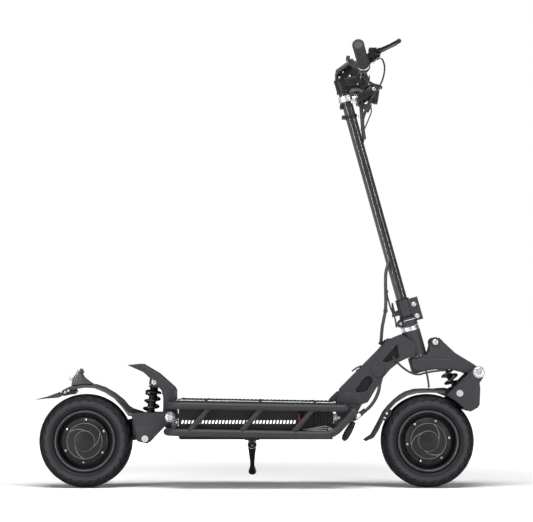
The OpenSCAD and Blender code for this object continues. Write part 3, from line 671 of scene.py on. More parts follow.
# %% [markdown]
# ## Hub motors
# The motor is the wheel: its casting carries the rim, and its side cover has a crown of small cooling fins,
# six screws, a raised disc with three curved ribs and a flat cap. The shell is one spun profile. The fins are
# every second face of one band, pulled outwards, which is quicker and cleaner than placing a block for each.

# %% Hubs with cooling fins
FIN_COUNT = 60
HUB_SECTION = [(0, -46), (27.5, -46), (29, -45.2), (29.6, -43.4), (31.4, -43.2), (51.5, -43.2), (53.4, -42.6),
               (54.4, -40.6), (55.2, -36.5), (67.0, -31.5), (69.2, -30.0), (70.2, -27.0), (70.4, -6.0),
               (80.4, -5.0), (81.6, -20.0), (82.4, -34.8), (83.6, -36.8), (86.0, -37.4), (87.6, -38.6),
               (89.6, -39.6), (91.4, -38.8), (91.6, -36.6), (87.2, -33.0), (87.2, 33.0), (91.6, 36.6),
               (91.4, 38.8), (89.6, 39.6), (86.0, 37.4), (82.4, 34.8), (80.4, 5.0), (70.4, 6.0), (70.2, 27.0),
               (67.0, 32.0), (60.0, 35.6), (16.0, 36.0), (8.2, 36.0), (8.2, 30.0)]
SCREW_CIRCLE = 63.4 * MM


def hub(name, first_screw):
    centre = Vector(joint[name + "_wheel_spin"]["pos_m"])
    form = bmesh.new()
    turned(form, [(r * MM, y * MM) for r, y in HUB_SECTION], (0, 0, 0), (0, 0, 1), FIN_COUNT * 2)
    band = []
    for face in form.faces:
        middle = face.calc_center_median()
        r = math.hypot(middle.x, middle.y)
        if 56 * MM < r < 66.5 * MM and middle.z < -30 * MM:
            index = math.floor(math.atan2(middle.y, middle.x) / math.tau * FIN_COUNT * 2 + 0.25)
            if index % 2 == 0:
                band.append(face)
    fins = bmesh.ops.extrude_discrete_faces(form, faces=band)["faces"]
    bmesh.ops.translate(form, vec=(0, 0, -4.2 * MM), verts=list({v for f in fins for v in f.verts}))
    form.transform(Matrix.Translation(centre) @ Matrix.Rotation(math.radians(-90), 4, "X"))
    settle(name + "_motor_shell", form, FINISHES["motor_casting"], name + "_wheel",
           [name + "_hub"])

    trim = bmesh.new()
    for k in range(3):
        ridge = []
        for step in range(9):
            share = step / 8
            radius = (31 + 21 * share) * MM
            angle = math.radians(first_screw + 120 * k + 62 * share**0.8)
            ridge.append(centre + Vector((radius * math.cos(angle), -43.3 * MM, radius * math.sin(angle))))
        swept(trim, ridge, 1.1 * MM, 6)
    for radius, y in ((30.4, -43.3), (53.0, -42.6), (88.2, -38.6)):
        loop = [centre + Vector((radius * MM * math.cos(a), y * MM, radius * MM * math.sin(a)))
                for a in [math.tau * i / 72 for i in range(73)]]
        swept(trim, loop, 0.8 * MM, 6, False)
    # The ribs' pale colour is a painted highlight.
    settle(name + "_motor_ribs", trim, RIB_HIGHLIGHT, name + "_wheel")

    screws = bmesh.new()
    for k in range(6):
        angle = math.radians(first_screw + 60 * k)
        spot = centre + Vector((SCREW_CIRCLE * math.cos(angle), -36 * MM, SCREW_CIRCLE * math.sin(angle)))
        bolt(screws, spot, (0, -1, 0), 3.6 * MM, 3.2 * MM, 24)
    settle(name + "_motor_screws", screws, FINISHES["steel"], name + "_wheel")


hub("rear", 87)
hub("front", 8.7)

# %% [markdown]
# ## Shock absorbers
# Each coil is a helix swept with round wire. The spring rides on the shock's body. A threaded collar holds its
# top, a rubber bump stop sits on the rod, and two small red knobs set the damping.

# %% Shocks with coil springs
SPRING_R = 25 * MM
WIRE_R = 4.2 * MM


def shock(name):
    top = Vector(joint[name + "_shock_tilt"]["pos_m"])
    up = Vector(joint[name + "_shock_slide"]["axis"])
    low_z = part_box(name + "_shock_rod")[0].z + 12 * MM
    length = (top.z - low_z) / up.z
    low = top - up * length
    side = Vector((0, 1, 0))
    ahead = side.cross(up)

    coil = bmesh.new()
    turns, steps = 4.5, 22
    height = length - (34 + 25 + 8.6) * MM
    start = low + up * (25.2 * MM + WIRE_R)
    count = int(turns * steps)
    route = []
    for i in range(count + 1):
        angle = math.tau * i / steps
        spread = SPRING_R - WIRE_R
        outward = ahead * math.cos(angle) + side * math.sin(angle)
        route.append(start + up * (height * i / count) + outward * spread)
    swept(coil, route, WIRE_R, 12)
    spring = settle(name + "_coil", coil, FINISHES["spring_paint"], name + "_shock",
                    [name + "_spring"])
    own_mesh(spring)

    body = bmesh.new()
    turned(body, [(6.3 * MM, 0), (12 * MM, 0), (12 * MM, 50 * MM)], top - up * 92 * MM, up, 40)
    thread = []
    for i in range(13):
        z = 50 + i * 2
        thread += [(12.0 * MM, z * MM), (13.0 * MM, (z + 1) * MM)]
    turned(body, thread, top - up * 92 * MM, up, 40)
    turned(body, [(12 * MM, 0), (24.2 * MM, 0), (SPRING_R, 1 * MM), (SPRING_R, 4 * MM), (21 * MM, 8 * MM),
                  (14 * MM, 9 * MM)], top - up * 34.5 * MM, up, 40)
    turned(body, [(12 * MM, 0), (12 * MM, 8 * MM), (9 * MM, 12 * MM), (0, 13 * MM)], top - up * 18 * MM, up, 40)
    turned(body, [(6.1 * MM, -12 * MM), (11.6 * MM, -12 * MM), (12 * MM, -11.4 * MM), (12 * MM, 11.4 * MM),
                  (11.6 * MM, 12 * MM), (6.1 * MM, 12 * MM), (6.1 * MM, -12 * MM)], top, (0, 1, 0), 40)
    settle(name + "_shock_tube", body, FINISHES["black_casting"], name + "_shock",
           [name + "_shock_body"])

    knob = bmesh.new()
    out = ahead if ahead.x < 0 else -ahead
    for drop in (8, 16):
        turned(knob, [(0, 0), (3.2 * MM, 0), (3.4 * MM, 5 * MM), (2.6 * MM, 6 * MM), (0, 6 * MM)],
               top - up * drop * MM + out * 11 * MM, out, 20)
    settle(name + "_damping_knobs", knob, RED, name + "_shock")

    rod = bmesh.new()
    turned(rod, [(0, 8 * MM), (9 * MM, 8 * MM), (9 * MM, 19 * MM), (SPRING_R - 1 * MM, 20 * MM),
                 (SPRING_R, 21 * MM), (SPRING_R, 24.6 * MM), (16 * MM, 25 * MM), (6 * MM, 26 * MM),
                 (6 * MM, length - 56 * MM)], low, up, 40)
    turned(rod, [(6.6 * MM, -12 * MM), (11.6 * MM, -12 * MM), (12 * MM, -11.4 * MM), (12 * MM, 11.4 * MM),
                 (11.6 * MM, 12 * MM), (6.6 * MM, 12 * MM), (6.6 * MM, -12 * MM)], low, (0, 1, 0), 40)
    stop = length - 104 * MM
    turned(rod, [(6.1 * MM, stop - 22 * MM), (11 * MM, stop - 20 * MM), (8.5 * MM, stop - 15 * MM),
                 (11 * MM, stop - 10 * MM), (8.5 * MM, stop - 5 * MM), (10.5 * MM, stop - 1.5 * MM),
                 (6.1 * MM, stop - 1 * MM)], low, up, 32)
    settle(name + "_shock_foot", rod, FINISHES["black_casting"], name + "_damper_rod",
           [name + "_shock_rod"])


shock("rear")
shock("front")

# %% [markdown]
# ## Frame details
# Welded tubes show a bead where they meet, so each strut gets a fine ring at both ends. The cast neck and the
# kick plate get raised faces, whose thin steps draw the crease lines that a casting has. From here on, lengths
# are written in millimetres and each finished piece is scaled once.

# %% Weld beads, raised faces and the deck
NECK_Y = 36
RAIL_Y = 110


def bead(form, centre, axis, radius, thick):
    """A ring of weld round a tube."""
    axis = Vector(axis).normalized()
    side = axis.orthogonal().normalized()
    other = axis.cross(side)
    loop = [Vector(centre) + (side * math.cos(a) + other * math.sin(a)) * radius
            for a in [math.tau * i / 40 for i in range(41)]]
    return swept(form, loop, thick, 6, False)


def both_sides(form, outline, near, far, soft=0.0, segments=2):
    """The same plate on both sides of the middle plane."""
    for side in (-1, 1):
        low, high = sorted((side * near, side * far))
        plate(form, outline, low, high, soft, segments)


def faced(form, outline, y, thick):
    """The same raised face on both sides of a casting."""
    both_sides(form, outline, y - 0.5, y + thick, 0.8)


welds = bmesh.new()
for x in (-213, -58, 97):
    for side in (-1, 1):
        foot, head = Vector((x, side * RAIL_Y, 165)), Vector((x + 67, side * RAIL_Y, 244))
        up = (head - foot).normalized()
        bead(welds, foot + up * 13, up, 9.2, 1.7)
        bead(welds, head - up * 9.5, up, 9.2, 1.7)
for side in (-1, 1):
    bead(welds, (252, side * RAIL_Y, 243.5), (1, 0, 0), 11.6, 1.6)
    bead(welds, (211, side * RAIL_Y, 160.8), (1, 0, 0.35), 11.4, 1.2)
coated("weld_beads", welds, "charcoal_paint", "frame")

faces = bmesh.new()
faced(faces, [(-330, 344), (-306, 335), (-263, 296), (-260, 288), (-260, 240), (-283, 240), (-283, 272),
              (-289, 294), (-300, 307)], 62, 1.4)
faced(faces, [(240, 252), (240, 259), (252, 284), (300, 284), (306, 263), (300, 250)], NECK_Y, 1.2)
coated("casting_faces", faces, "charcoal_paint", "frame")

rims = bmesh.new()
slot_rim = [(287, 294), (315, 331), (327, 336), (338, 330), (341, 318), (324, 291), (315, 285), (291, 284)]
for side in (-1, 1):
    bead(rims, (354.8, side * 39, 352.3), (0, 1, 0), 18.6, 1.1)
    loop = [Vector((x, side * NECK_Y, z)) for x, z in slot_rim + slot_rim[:1]]
    swept(rims, loop, 0.9, 6, False)
coated("neck_rims", rims, "charcoal_paint", "frame")
# Painted shade: the pocket floors are black, darker than the charcoal neck, where shade falls in the pockets.
pockets = bmesh.new()
for pocket in ([(290, 296), (313, 327), (326, 333), (335, 328), (338, 318), (323, 293), (314, 288), (293, 287)],
               [(370, 379), (413, 427), (419, 391), (384, 377)]):
    both_sides(pockets, pocket, 23.5, 25.4)
coated("neck_pocket_shade", pockets, "black_casting", "frame")

cover = bmesh.new()
along = Vector((131, 0, 140)).normalized()
outward = Vector((-along.z, 0, along.x))
start = Vector((230, 0, 271))
for a, b, low, high, half in ((2, 168, -3, 1.2, 24), (10, 26, 0, 3.5, 20), (98, 108, 0, 9, 9),
                              (112, 122, 0, 11, 7)):
    ring = [start + along * a + outward * low, start + along * b + outward * low,
            start + along * b + outward * high, start + along * (a + 1.5) + outward * high]
    plate(cover, [(p.x, p.z) for p in ring], -half, half, 1.0)
hook = [start + along * 116 + outward * 10, start + along * 106 + outward * 14,
        start + along * 90 + outward * 17]
swept(cover, hook, 2.4, 8)
plate(cover, [(208, 259), (214, 268), (236, 289), (244, 262), (236, 256)], -32, 32, 1.5)
coated("neck_top_cover", cover, "black_plastic", "frame")

gland = bmesh.new()
for k in range(4):
    spot = Vector((372, -8, 432)) + Vector((7, 0, 4)) * k
    turned(gland, [(0, -3), (12 - k, -3), (13 - k, 0), (12 - k, 3), (0, 3)], spot, (0.1, 0, 1), 20)
BOOT_TOP, BOOT_DOWN = Vector((281, -50, 198)), Vector((-0.56, 0, -1)).normalized()
turned(gland, [(0, 0), (7, 0), (9, 14), (11, 34), (10, 52), (7, 62), (0, 65)], BOOT_TOP, BOOT_DOWN, 24)
for k in range(5):
    bead(gland, BOOT_TOP + BOOT_DOWN * (16 + 9 * k), BOOT_DOWN, 10.4, 1.2)
coated("cable_glands", gland, "rubber", "frame")

DECK = Matrix.Translation((-274, 0, 248)) @ Matrix.Rotation(math.radians(0.97), 4, "Y")
mat = bmesh.new()
box(mat, (33, -104, 16.4), (489, 104, 18), 0.6)
for k in range(37):
    box(mat, (42 + 12 * k, -96, 17.4), (48 + 12 * k, 96, 19.4), 0.6)
mat.transform(DECK)
coated("deck_grip_mat", mat, "rubber", "frame", "deck_mat")

trim = bmesh.new()
for side in (-1, 1):
    low, high = sorted((side * 105, side * 112.5))
    for a, b in ((30, 112), (121, 271), (281, 432), (441, 492)):
        box(trim, (a, low, 15.2), (b, high, 17.6), 0.6)
trim.transform(DECK)
coated("deck_edge_trim", trim, "silver_alloy", "frame")

# %% [markdown]
# ## Bolts
# The big pivot bolts are the brightest things on the scooter, so they are worth real heads with sockets and
# washers. A shaft joins the two heads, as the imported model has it.

# %% Bolts


def through_bolt(form, point, shaft, head, reach, height):
    """A shaft across the scooter at (x, z) with a washer and a socket head at each end."""
    centre = (point[0], -reach, point[1])
    turned(form, [(0, 0), (shaft, 0), (shaft, 2 * reach), (0, 2 * reach)], centre, (0, 1, 0), 32)
    for side in (-1, 1):
        spot = Vector((point[0], side * reach, point[1]))
        out = Vector((0, side, 0))
        turned(form, [(0, 0), (head * 1.12, 0), (head * 1.12, 0.8), (0, 0.8)], spot, out, 40)
        bolt(form, spot + out * 0.8, out, head, height)


bolts = bmesh.new()
through_bolt(bolts, (-268, 212), 10, 13, 55.5, 4.5)
through_bolt(bolts, (-317, 316.5), 6, 9, 22, 4)
stand = Matrix.Translation((-24, 92, 128)) @ Matrix.Rotation(math.radians(-52.3), 4, "X")
bolt(bolts, stand @ Vector((0, 0, 12.4)), stand.to_3x3() @ Vector((0, 0, 1)), 7, 3.5)
turned(bolts, [(0, 0), (4, 0), (4, 24), (0, 24)], stand @ Vector((0, 0, -11)),
       stand.to_3x3() @ Vector((0, 0, 1)), 24)
coated("frame_bolt_heads", bolts, "steel", "frame", "frame_bolts")

screws = bmesh.new()
for side in (-1, 1):
    for x in (36, 116, 276, 436):
        spot = DECK @ Vector((x, side * 108, 16))
        bolt(screws, spot, (0, 0, 1), 5.5, 3.6, 24)
coated("deck_screws", screws, "black_casting", "frame")

bolts = bmesh.new()
through_bolt(bolts, (656, 345.5), 10, 15.5, 55.5, 5)
through_bolt(bolts, (529, 436), 6, 8, 36.5, 3)
turned(bolts, [(0, 0), (4, 0), (4, 37), (0, 37)], (427, -18.5, 491), (0, 1, 0), 24)
coated("fork_bolt_heads", bolts, "steel", "fork", "fork_bolts")

# Painted shade: a near-black ring and thin disc round each crown bolt stand for the shade in its recess.
rings = bmesh.new()
for side in (-1, 1):
    bead(rings, (529, side * 36.4, 436), (0, 1, 0), 10.6, 1.6)
    turned(rings, [(0, 0), (15, 0), (15, 0.5), (0, 0.5)], (529, side * 36, 436), (0, side, 0), 32)
settle_mm("fork_bolt_recess_shade", rings, DARK, "fork", "black_casting")

# Each eye bolt gets a thin near-black disc round its head: painted shade.
for name, spot in (("front", (598, 282.5)), ("rear", (-342, 147.5))):
    low = bmesh.new()
    dark = bmesh.new()
    for side in (-1, 1):
        bolt(low, (spot[0], side * 56, spot[1]), (0, side, 0), 7.5, 4)
        turned(dark, [(0, 0), (10.5, 0), (10.2, 0.7), (0, 0.7)], (spot[0], side * 55, spot[1]), (0, side, 0),
               32)
    coated(name + "_eye_bolts", low, "steel", name + "_arm")
    settle_mm(name + "_eye_washers", dark, DARK, name + "_arm", "black_casting")

# %% [markdown]
# ## Crown and arms
# The crown is a hollow casting with a thicker lower beam. Each arm's side plate is folded along a line from
# its pivot. Both are shown by a slightly raised face, so the light changes at the fold.

# %% Creases of the crown and the arms
beam = bmesh.new()
both_sides(beam, [(458, 384), (462, 360), (468, 350), (480, 347.5), (499, 350.5), (527, 355), (584, 355),
                  (617, 346), (640, 336), (650, 333), (646, 352), (600, 377), (575, 385)], 14, NECK_Y + 2.6,
                  2.6, 3)
coated("crown_beam", beam, "charcoal_paint", "fork")
mark = bmesh.new()
bmesh.ops.create_uvsphere(mark, u_segments=16, v_segments=10, radius=2.6,
                          matrix=Matrix.Translation((549, -36, 441)))
settle_mm("crown_red_mark", mark, RED, "fork", "red_button")
for name, outline in (("front", [(640, 345), (568, 281), (585, 262), (611, 240), (626, 235)]),
                      ("rear", [(-371, 184), (-284, 203), (-288, 185), (-336, 137), (-361, 142)])):
    fold = bmesh.new()
    faced(fold, outline, 55, 1.6)
    coated(name + "_arm_fold", fold, "charcoal_paint", name + "_arm")

# %% [markdown]
# ## Fenders
# A fender is a thin curved shell: high in the middle and turned down at its sides. Each ring of points runs
# over the top of the shell and back underneath, and the rings follow the tyre from front to back.

# %% Fenders and tail light


def fender(name, tops, unders, half, stands_for):
    form = bmesh.new()
    rings = []
    for (x, z), (u, w) in zip(tops, unders):
        top, under = Vector((x, 0, z)), Vector((u, 0, w))
        drop = under - top
        inward = drop.normalized() * min(2.2, 0.45 * drop.length)
        spread = [-1, -0.96, -0.86, -0.6, -0.3, 0, 0.3, 0.6, 0.86, 0.96, 1]
        outer = [top + (drop - inward) * abs(t)**3.2 + Vector((0, half * t, 0)) for t in spread]
        inner = [p + inward for p in reversed(outer)]
        rings.append(outer + inner)
    loft(form, rings)
    settle_mm(name + "_shell", form, FENDER, name.split("_")[0] + "_arm", "black_plastic", stands_for)


FRONT_TOP = [(556, 294), (535, 296), (513, 297), (490, 297), (467, 296), (440, 288), (421, 277), (404.5, 263.5),
             (387, 246), (372, 228), (351.5, 189), (334, 158), (312, 143)]
FRONT_UNDER = [(556, 282), (535, 283.5), (512, 284), (491, 283.5), (471, 282), (444, 275), (427, 265.5),
               (408, 253), (393, 237), (378, 218), (356, 171), (342, 149), (317, 139)]
fender("front_fender", FRONT_TOP, FRONT_UNDER, 38, "front_fender")
REAR_TOP = [(-380, 234), (-395, 245), (-410, 263), (-437, 284), (-467, 301), (-495, 310), (-534, 310.5),
            (-565, 306),
            (-582, 299), (-608, 285), (-640, 273), (-670.5, 265)]
REAR_UNDER = [(-384, 213), (-394, 215), (-416, 244), (-437, 266.5), (-467, 285.5), (-497, 297.5), (-529, 299),
              (-555, 295), (-591, 279.7), (-614, 268), (-640, 266.5), (-670.5, 263)]
fender("rear_fender", REAR_TOP, REAR_UNDER, 38, "rear_fender")

stays = bmesh.new()
plate(stays, [(-594, 285), (-562, 296), (-553, 288), (-560, 279), (-578, 277), (-590, 274)], -39, 39, 1.5)
for side in (-1, 1):
    plate(stays, [(-437, 268), (-416, 246), (-392, 225), (-360, 212), (-352, 226), (-384, 236)], side * 32 - 3,
          side * 32 + 3, 1.0)
coated("rear_fender_stay", stays, "black_casting", "rear_arm")
stays = bmesh.new()
plate(stays, [(370, 204), (378, 214), (388, 230), (399, 232), (391, 214), (377, 199)], -39, 39, 1.5)
plate(stays, [(530, 297), (560, 299), (588, 284), (584, 268), (560, 274), (536, 283)], -30, 30, 2)
coated("front_fender_stay", stays, "black_casting", "front_arm")
for name, spots in (("rear", ((-596, 287), (-584, 285), (-574, 290))),
                    ("front", ((381.5, 222), (374.5, 208.5)))):
    form = bmesh.new()
    for x, z in spots:
        for side in (-1, 1):
            bolt(form, (x, side * 38.6, z), (0, side, 0), 3.8, 2.4, 24)
    coated(name + "_fender_screws", form, "steel", name + "_arm")

housing = bmesh.new()
plate(housing, [(-568, 305), (-566, 318), (-546, 344), (-541, 345), (-532, 330), (-514, 316), (-503, 310.5),
                (-534, 309)], -26, 26, 2.5)
plate(housing, [(-551, 343), (-546, 350), (-544, 357), (-537, 356), (-532, 346), (-535, 341), (-541, 338)], -9,
      9, 1.2)
settle_mm("tail_light_housing", housing, FENDER, "rear_arm", "black_plastic", "tail_light")
lens = bmesh.new()
plate(lens, [(-577, 324), (-572, 336), (-560, 347), (-551, 345), (-568, 319)], -22, 22, 2)
coated("tail_light_lens", lens, "light_lens", "rear_arm")
mark = bmesh.new()
bmesh.ops.create_uvsphere(mark, u_segments=16, v_segments=10, radius=2.8,
                          matrix=Matrix.Translation((-550.5, -8, 350)))
settle_mm("tail_light_mark", mark, RED, "rear_arm", "red_button")

# %% [markdown]
# ## Side lights and wiring at the case
# A row of light diodes runs along each side of the battery case. They are short slanted blocks with gaps
# between them, because a row of separate points reads as lights and a plain white bar does not.

# %% Light diodes, wires and connectors
backing = bmesh.new()
diodes = bmesh.new()
for side in (-1, 1):
    low, high = sorted((side * 88.1, side * 90.0))
    box(backing, (-236, low, 191), (62, high, 206), 0.5)
    low, high = sorted((side * 89.5, side * 91.4))
    for k in range(34):
        x = -232 + 10.05 * k
        if side < 0 or x < 60:
            plate(diodes, [(x, 193.5), (x + 5.2, 193.5), (x + 7.6, 203.5), (x + 2.4, 203.5)], low, high, 0.5, 1)
box(backing, (62, -90, 191), (114, -88.1, 206), 0.5)
settle_mm("light_strip_backing", backing, DARK, "frame", "black_plastic", "light_strips")
settle_mm("light_strip_diodes", diodes, GLOW, "frame", "light_lens")

strap = bmesh.new()
box(strap, (115.5, -93, 197), (119, -88, 226), 0.8)
settle_mm("red_strap", strap, RED, "frame", "red_button")
handle = bmesh.new()
swept(handle, eased([(122, -91, 228), (113, -93, 222), (111, -93, 210), (114, -93, 198), (122, -91, 194)]), 2.2,
      8)
coated("case_pull_loop", handle, "rubber", "frame")

leads = bmesh.new()
for k in range(4):
    swept(leads, eased([(-243, -60 + 3 * k, 207 - 5 * k), (-251, -64 + 3 * k, 203 - 6 * k),
                        (-262, -66 + 3 * k, 197 - 7 * k)]), 1.9, 8)
for k in range(3):
    swept(leads, eased([(128 + 8 * k, -89, 176 - 5 * k), (158, -93, 180 - 4 * k), (190, -92, 186 - 6 * k),
                        (212, -90, 182 - 8 * k)]), 1.6, 8)
coated("grey_leads", leads, "grey_button", "frame")
plugs = bmesh.new()
for low, high in (((-249, -70, 193), (-243, -52, 201)), ((204, -95, 172), (221, -84, 180)),
                  ((219, -60, 196), (231, -44, 222)), ((232, -58, 205), (240, -46, 214))):
    box(plugs, low, high, 1.2)
coated("white_connectors", plugs, "silver_alloy", "frame")

# %% [markdown]
# ## Cables and hoses
# Hydraulic hoses and the wiring run in loose curves from the handlebar to the frame, with enough slack for the
# bars to turn and the stem to fold. Where a hose crosses a joint it is one mesh that rides on no body. The bundle
# behind the stem crosses two joints and is made in two lengths that meet in a clip.

# %% Hoses with slack


def hose(name, route, radius, finish, body=None, joins=None, stands_for=()):
    """A hose through a few points. joins names the two bodies it crosses; such a hose rides on neither and does
    not bend.
    """
    form = bmesh.new()
    swept(form, eased(route, 8), radius, 12)
    piece = settle_mm(name, form, finish, body, "cable", *stands_for)
    if joins:
        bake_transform(piece)


CLIP = Vector((379, -42, 530))
lower = [(366, -16, 430), (367, -30, 452), (369, -38, 480), (374, -42, 506), CLIP]
upper = [CLIP, (380, -41, 560), (380, -38, 592), (380.5, -32, 622), (383, -24, 650), (392, -15, 680)]
hose("stem_bundle_lower", lower, 5, SLEEVE, joins=("frame", "fork"),
     stands_for=["control_cables"])
hose("stem_bundle_upper", upper, 5, SLEEVE, joins=("fork", "stem"))
hose("stem_branch", [(382, -41, 590), (387, -41, 565), (396, -42, 534), (407, -42, 508), (412, -36, 480)], 2.6,
     FINISHES["cable"], "fork")
hose("front_hose", [(400, -34, 392), (416, -40, 372), (440, -40, 352), (462, -40, 341), (480, -40, 339),
                    (499, -40, 344), (530, -38, 349), (562, -34, 352)], 3.2, FINISHES["cable"],
     joins=("frame", "fork"))
hose("front_wheel_lead", [(500, -30, 350), (504, -31, 335), (507, -30, 318), (509, -28, 299)], 3,
     FINISHES["cable"],
     joins=("fork", "front_arm"))
harness = [(368, -24, 334), (361, -30, 310), (357, -38, 290), (348, -42, 268), (334, -44, 247), (317, -46, 231),
           (300, -50, 219), (284, -56, 206), (262, -64, 200), (240, -72, 196), (223, -76, 196)]
hose("main_harness_sleeve", harness, 5.4, SLEEVE, "frame", stands_for=["main_harness"])

clips = bmesh.new()
for centre, axis, radius in ((CLIP, (0, 0, 1), 6.4), ((382, -39, 588), (0, 0, 1), 5.8)):
    turned(clips, [(0, -5), (radius, -5), (radius, 5), (0, 5)], centre, axis, 24)
coated("bundle_clip", clips, "black_plastic", "fork")
joint_ring = bmesh.new()
turned(joint_ring, [(0, -8), (6.6, -8), (7.4, -6), (7.4, 2), (6.4, 4), (6.4, 10), (0, 10)], (293, -53, 214),
       (0.75, 0.15, 0.55), 28)
coated("harness_connector", joint_ring, "steel", "frame")
nut = bmesh.new()
turned(nut, [(0, 0), (7.8, 0), (8.2, 6), (6.8, 9), (6.8, 22), (0, 22)], (299, -51, 219), (0.72, 0.15, 0.62), 6)
coated("harness_nut", nut, "black_plastic", "frame")

for side in (-1, 1):
    word = "left" if side > 0 else "right"
    hose(f"brake_hose_{word}", [(352, side * 188, 1270), (364, side * 178, 1266), (372, side * 150, 1244),
                                (366, side * 106, 1214), (346, side * 62, 1186), (328, side * 30, 1160),
                                (318, side * 20, 1120), (318, side * 12, 1080), (318, side * 6, 1050)],
         2.6, FINISHES["cable"], "stem")
    hose(f"switch_lead_{word}", [(300, side * 150, 1226), (330, side * 130, 1210), (352, side * 90, 1200),
                                 (340, side * 44, 1172), (322, side * 26, 1130), (312, side * 16, 1090)],
         1.8, FINISHES["cable"], "stem")
hose("stem_top_bundle", [(312, 0, 1178), (312, -4, 1150), (314, -6, 1120), (317, -3, 1085), (321, 0, 1058)], 6,
     SLEEVE, "stem")
hose("lamp_lead", [(336, 8, 1180), (344, 14, 1150), (334, 12, 1120), (322, 6, 1092)], 2, FINISHES["cable"],
     "stem")

# %% [markdown]
# ## Handlebar
# The cockpit is crowded: grips with metal lock rings, two hydraulic brake levers, a display on a slanted
# bracket, switches and a throttle. Small bright screws everywhere are what makes it look assembled.

# %% Grips and levers


def mirrored(point, side):
    return Vector((point[0], point[1] * side, point[2]))


def grip_line(side):
    """The inner end and the direction of a grip's axis."""
    return mirrored((306, 214, 1240), side), mirrored((-0.170, 0.969, 0.178), side).normalized()


rubber_form, ring_form, plug_form = bmesh.new(), bmesh.new(), bmesh.new()
for side in (-1, 1):
    start, along = grip_line(side)
    profile = [(11.3, 17), (18.2, 17), (18.4, 20), (16.2, 22)]
    for k in range(20):
        z = 24 + 6 * k
        profile += [(16.2, z), (17.1, z + 0.8), (17.1, z + 4.2), (16.2, z + 5)]
    profile += [(16.6, 147), (17.4, 149), (17.4, 156), (15.6, 157.2), (11.3, 157.2)]
    turned(rubber_form, profile, start, along, 40)
    turned(ring_form, [(11.3, 7), (17.2, 7), (18, 8), (18, 15.4), (17.2, 16.6), (11.3, 16.6)], start, along, 40)
    turned(plug_form, [(0, 156.6), (13.5, 156.6), (14.6, 157.6), (15, 156), (15, 154)], start, along, 40)
    pinch = along.cross(Vector((0, 0, 1))).normalized()
    bolt(plug_form, start + along * 12 + pinch * 17, pinch, 3.2, 2.6, 20)
coated("grip_sleeves", rubber_form, "rubber", "stem", "grips")
coated("grip_lock_rings", ring_form, "steel", "stem")
coated("bar_end_plugs", plug_form, "black_plastic", "stem")

lids, unions = bmesh.new(), bmesh.new()
for side in (-1, 1):
    low, high = sorted((side * 175, side * 215))
    box(lids, (321, low, 1292), (353, high, 1295.5), 1.4)
    for x, y in ((325, 180), (349, 210)):
        bolt(unions, (x, side * y, 1295), (0, 0, 1), 2.6, 1.8, 20)
    turned(unions, [(0, 0), (5.5, 0), (5.5, 7), (4.2, 8), (4.2, 16), (0, 16)], (345, side * 188, 1271),
           Vector((0.9, -0.15 * side, 0.1)), 6)
    bolt(unions, (345, side * 226, 1288.4), (0, 0, 1), 5, 2.4, 24)
    for z in (1254, 1276):
        bolt(unions, (333, side * 191, z), (1, 0, 0.2), 3, 3, 20)
coated("reservoir_lids", lids, "black_plastic", "stem")
coated("brake_fittings", unions, "steel", "stem")

for side in (-1, 1):
    word = "left" if side > 0 else "right"
    grip_pad = bmesh.new()
    tilt = Matrix.Translation(mirrored((345, 226, 1276), side)) @ Matrix.Rotation(math.radians(4) * side, 4,
                                                                                  "X")
    line = [(15, 16, 4), (24, 32, 4), (36, 52, 4), (46, 74, 4), (52, 98, 4)]
    route = [tilt @ mirrored(p, side) for p in line]
    swept(grip_pad, eased(route), lambda t: 5.6 - 1.2 * math.sin(math.pi * t), 12)
    coated(f"lever_edge_{word}", grip_pad, "black_casting", f"brake_lever_{word}")

# %% [markdown]
# ## Stem block, display and lamp
# The display is a dark glass set in its housing. The lamp is a short barrel with cooling fins and a deep
# reflector behind clear glass, and its bracket is clamped to the stem with a bright collar.

# %% Display, lamp and collars
RAKE = math.radians(15.2)
STEM_UP = Vector((-math.sin(RAKE), 0, math.cos(RAKE)))


def stem_at(z):
    return Vector((431.8 + (568 - z) * math.tan(RAKE), 0, z))


glass = bmesh.new()
SCREEN_PLACE = Matrix.Translation((261, 0, 1279)) @ Matrix.Rotation(math.radians(-36.7), 4, "Y")
box(glass, (-28, -37, 4), (28, 37, 6), 1.0)
glass.transform(SCREEN_PLACE)
settle_mm("display_glass", glass, SCREEN, "stem", "black_plastic")
frame_rim = bmesh.new()
for low, high in (((-31, -41, 3.5), (-28, 41, 6.8)), ((28, -41, 3.5), (31, 41, 6.8)),
                  ((-31, -41, 3.5), (31, -37, 6.8)), ((-31, 37, 3.5), (31, 41, 6.8))):
    box(frame_rim, low, high, 1.0)
for k in range(5):
    box(frame_rim, (-26 + 12 * k, -34, -9), (-23 + 12 * k, 34, -4), 0.8)
frame_rim.transform(SCREEN_PLACE)
coated("display_rim", frame_rim, "black_plastic", "stem")

collars = bmesh.new()
for z, radius, length in ((1128, 20, 9), (1206, 22.6, 7), (1238, 22, 6), (566, 21.8, 3), (515, 23, 4)):
    turned(collars, [(16.6, -length / 2), (radius - 1, -length / 2), (radius, 1 - length / 2),
                     (radius, length / 2 - 1), (radius - 1, length / 2), (16.6, length / 2)], stem_at(z),
                     STEM_UP, 48)
box(collars, (252, -14, 1121), (272, 14, 1131), 2)
box(collars, (246, -10, 1152), (256, 10, 1166), 2)
plate(collars, [(236, 1228), (246, 1216), (256, 1216), (262, 1250), (242, 1252)], -15, 15, 3)
plate(collars, [(230, 1246), (244, 1240), (250, 1258), (236, 1260)], -10, 10, 3)
plate(collars, [(246, 1250), (254, 1264), (272, 1284), (292, 1300), (310, 1290), (314, 1248)], -24, 24, 2)
plate(collars, [(302, 1262), (326, 1268), (332, 1244), (332, 1214), (308, 1212)], -30, 30, 3)
both_sides(collars, [(262, 1218), (318, 1224), (318, 1256), (258, 1244)], 22, 26, 1.6)
coated("stem_collars", collars, "black_casting", "stem")

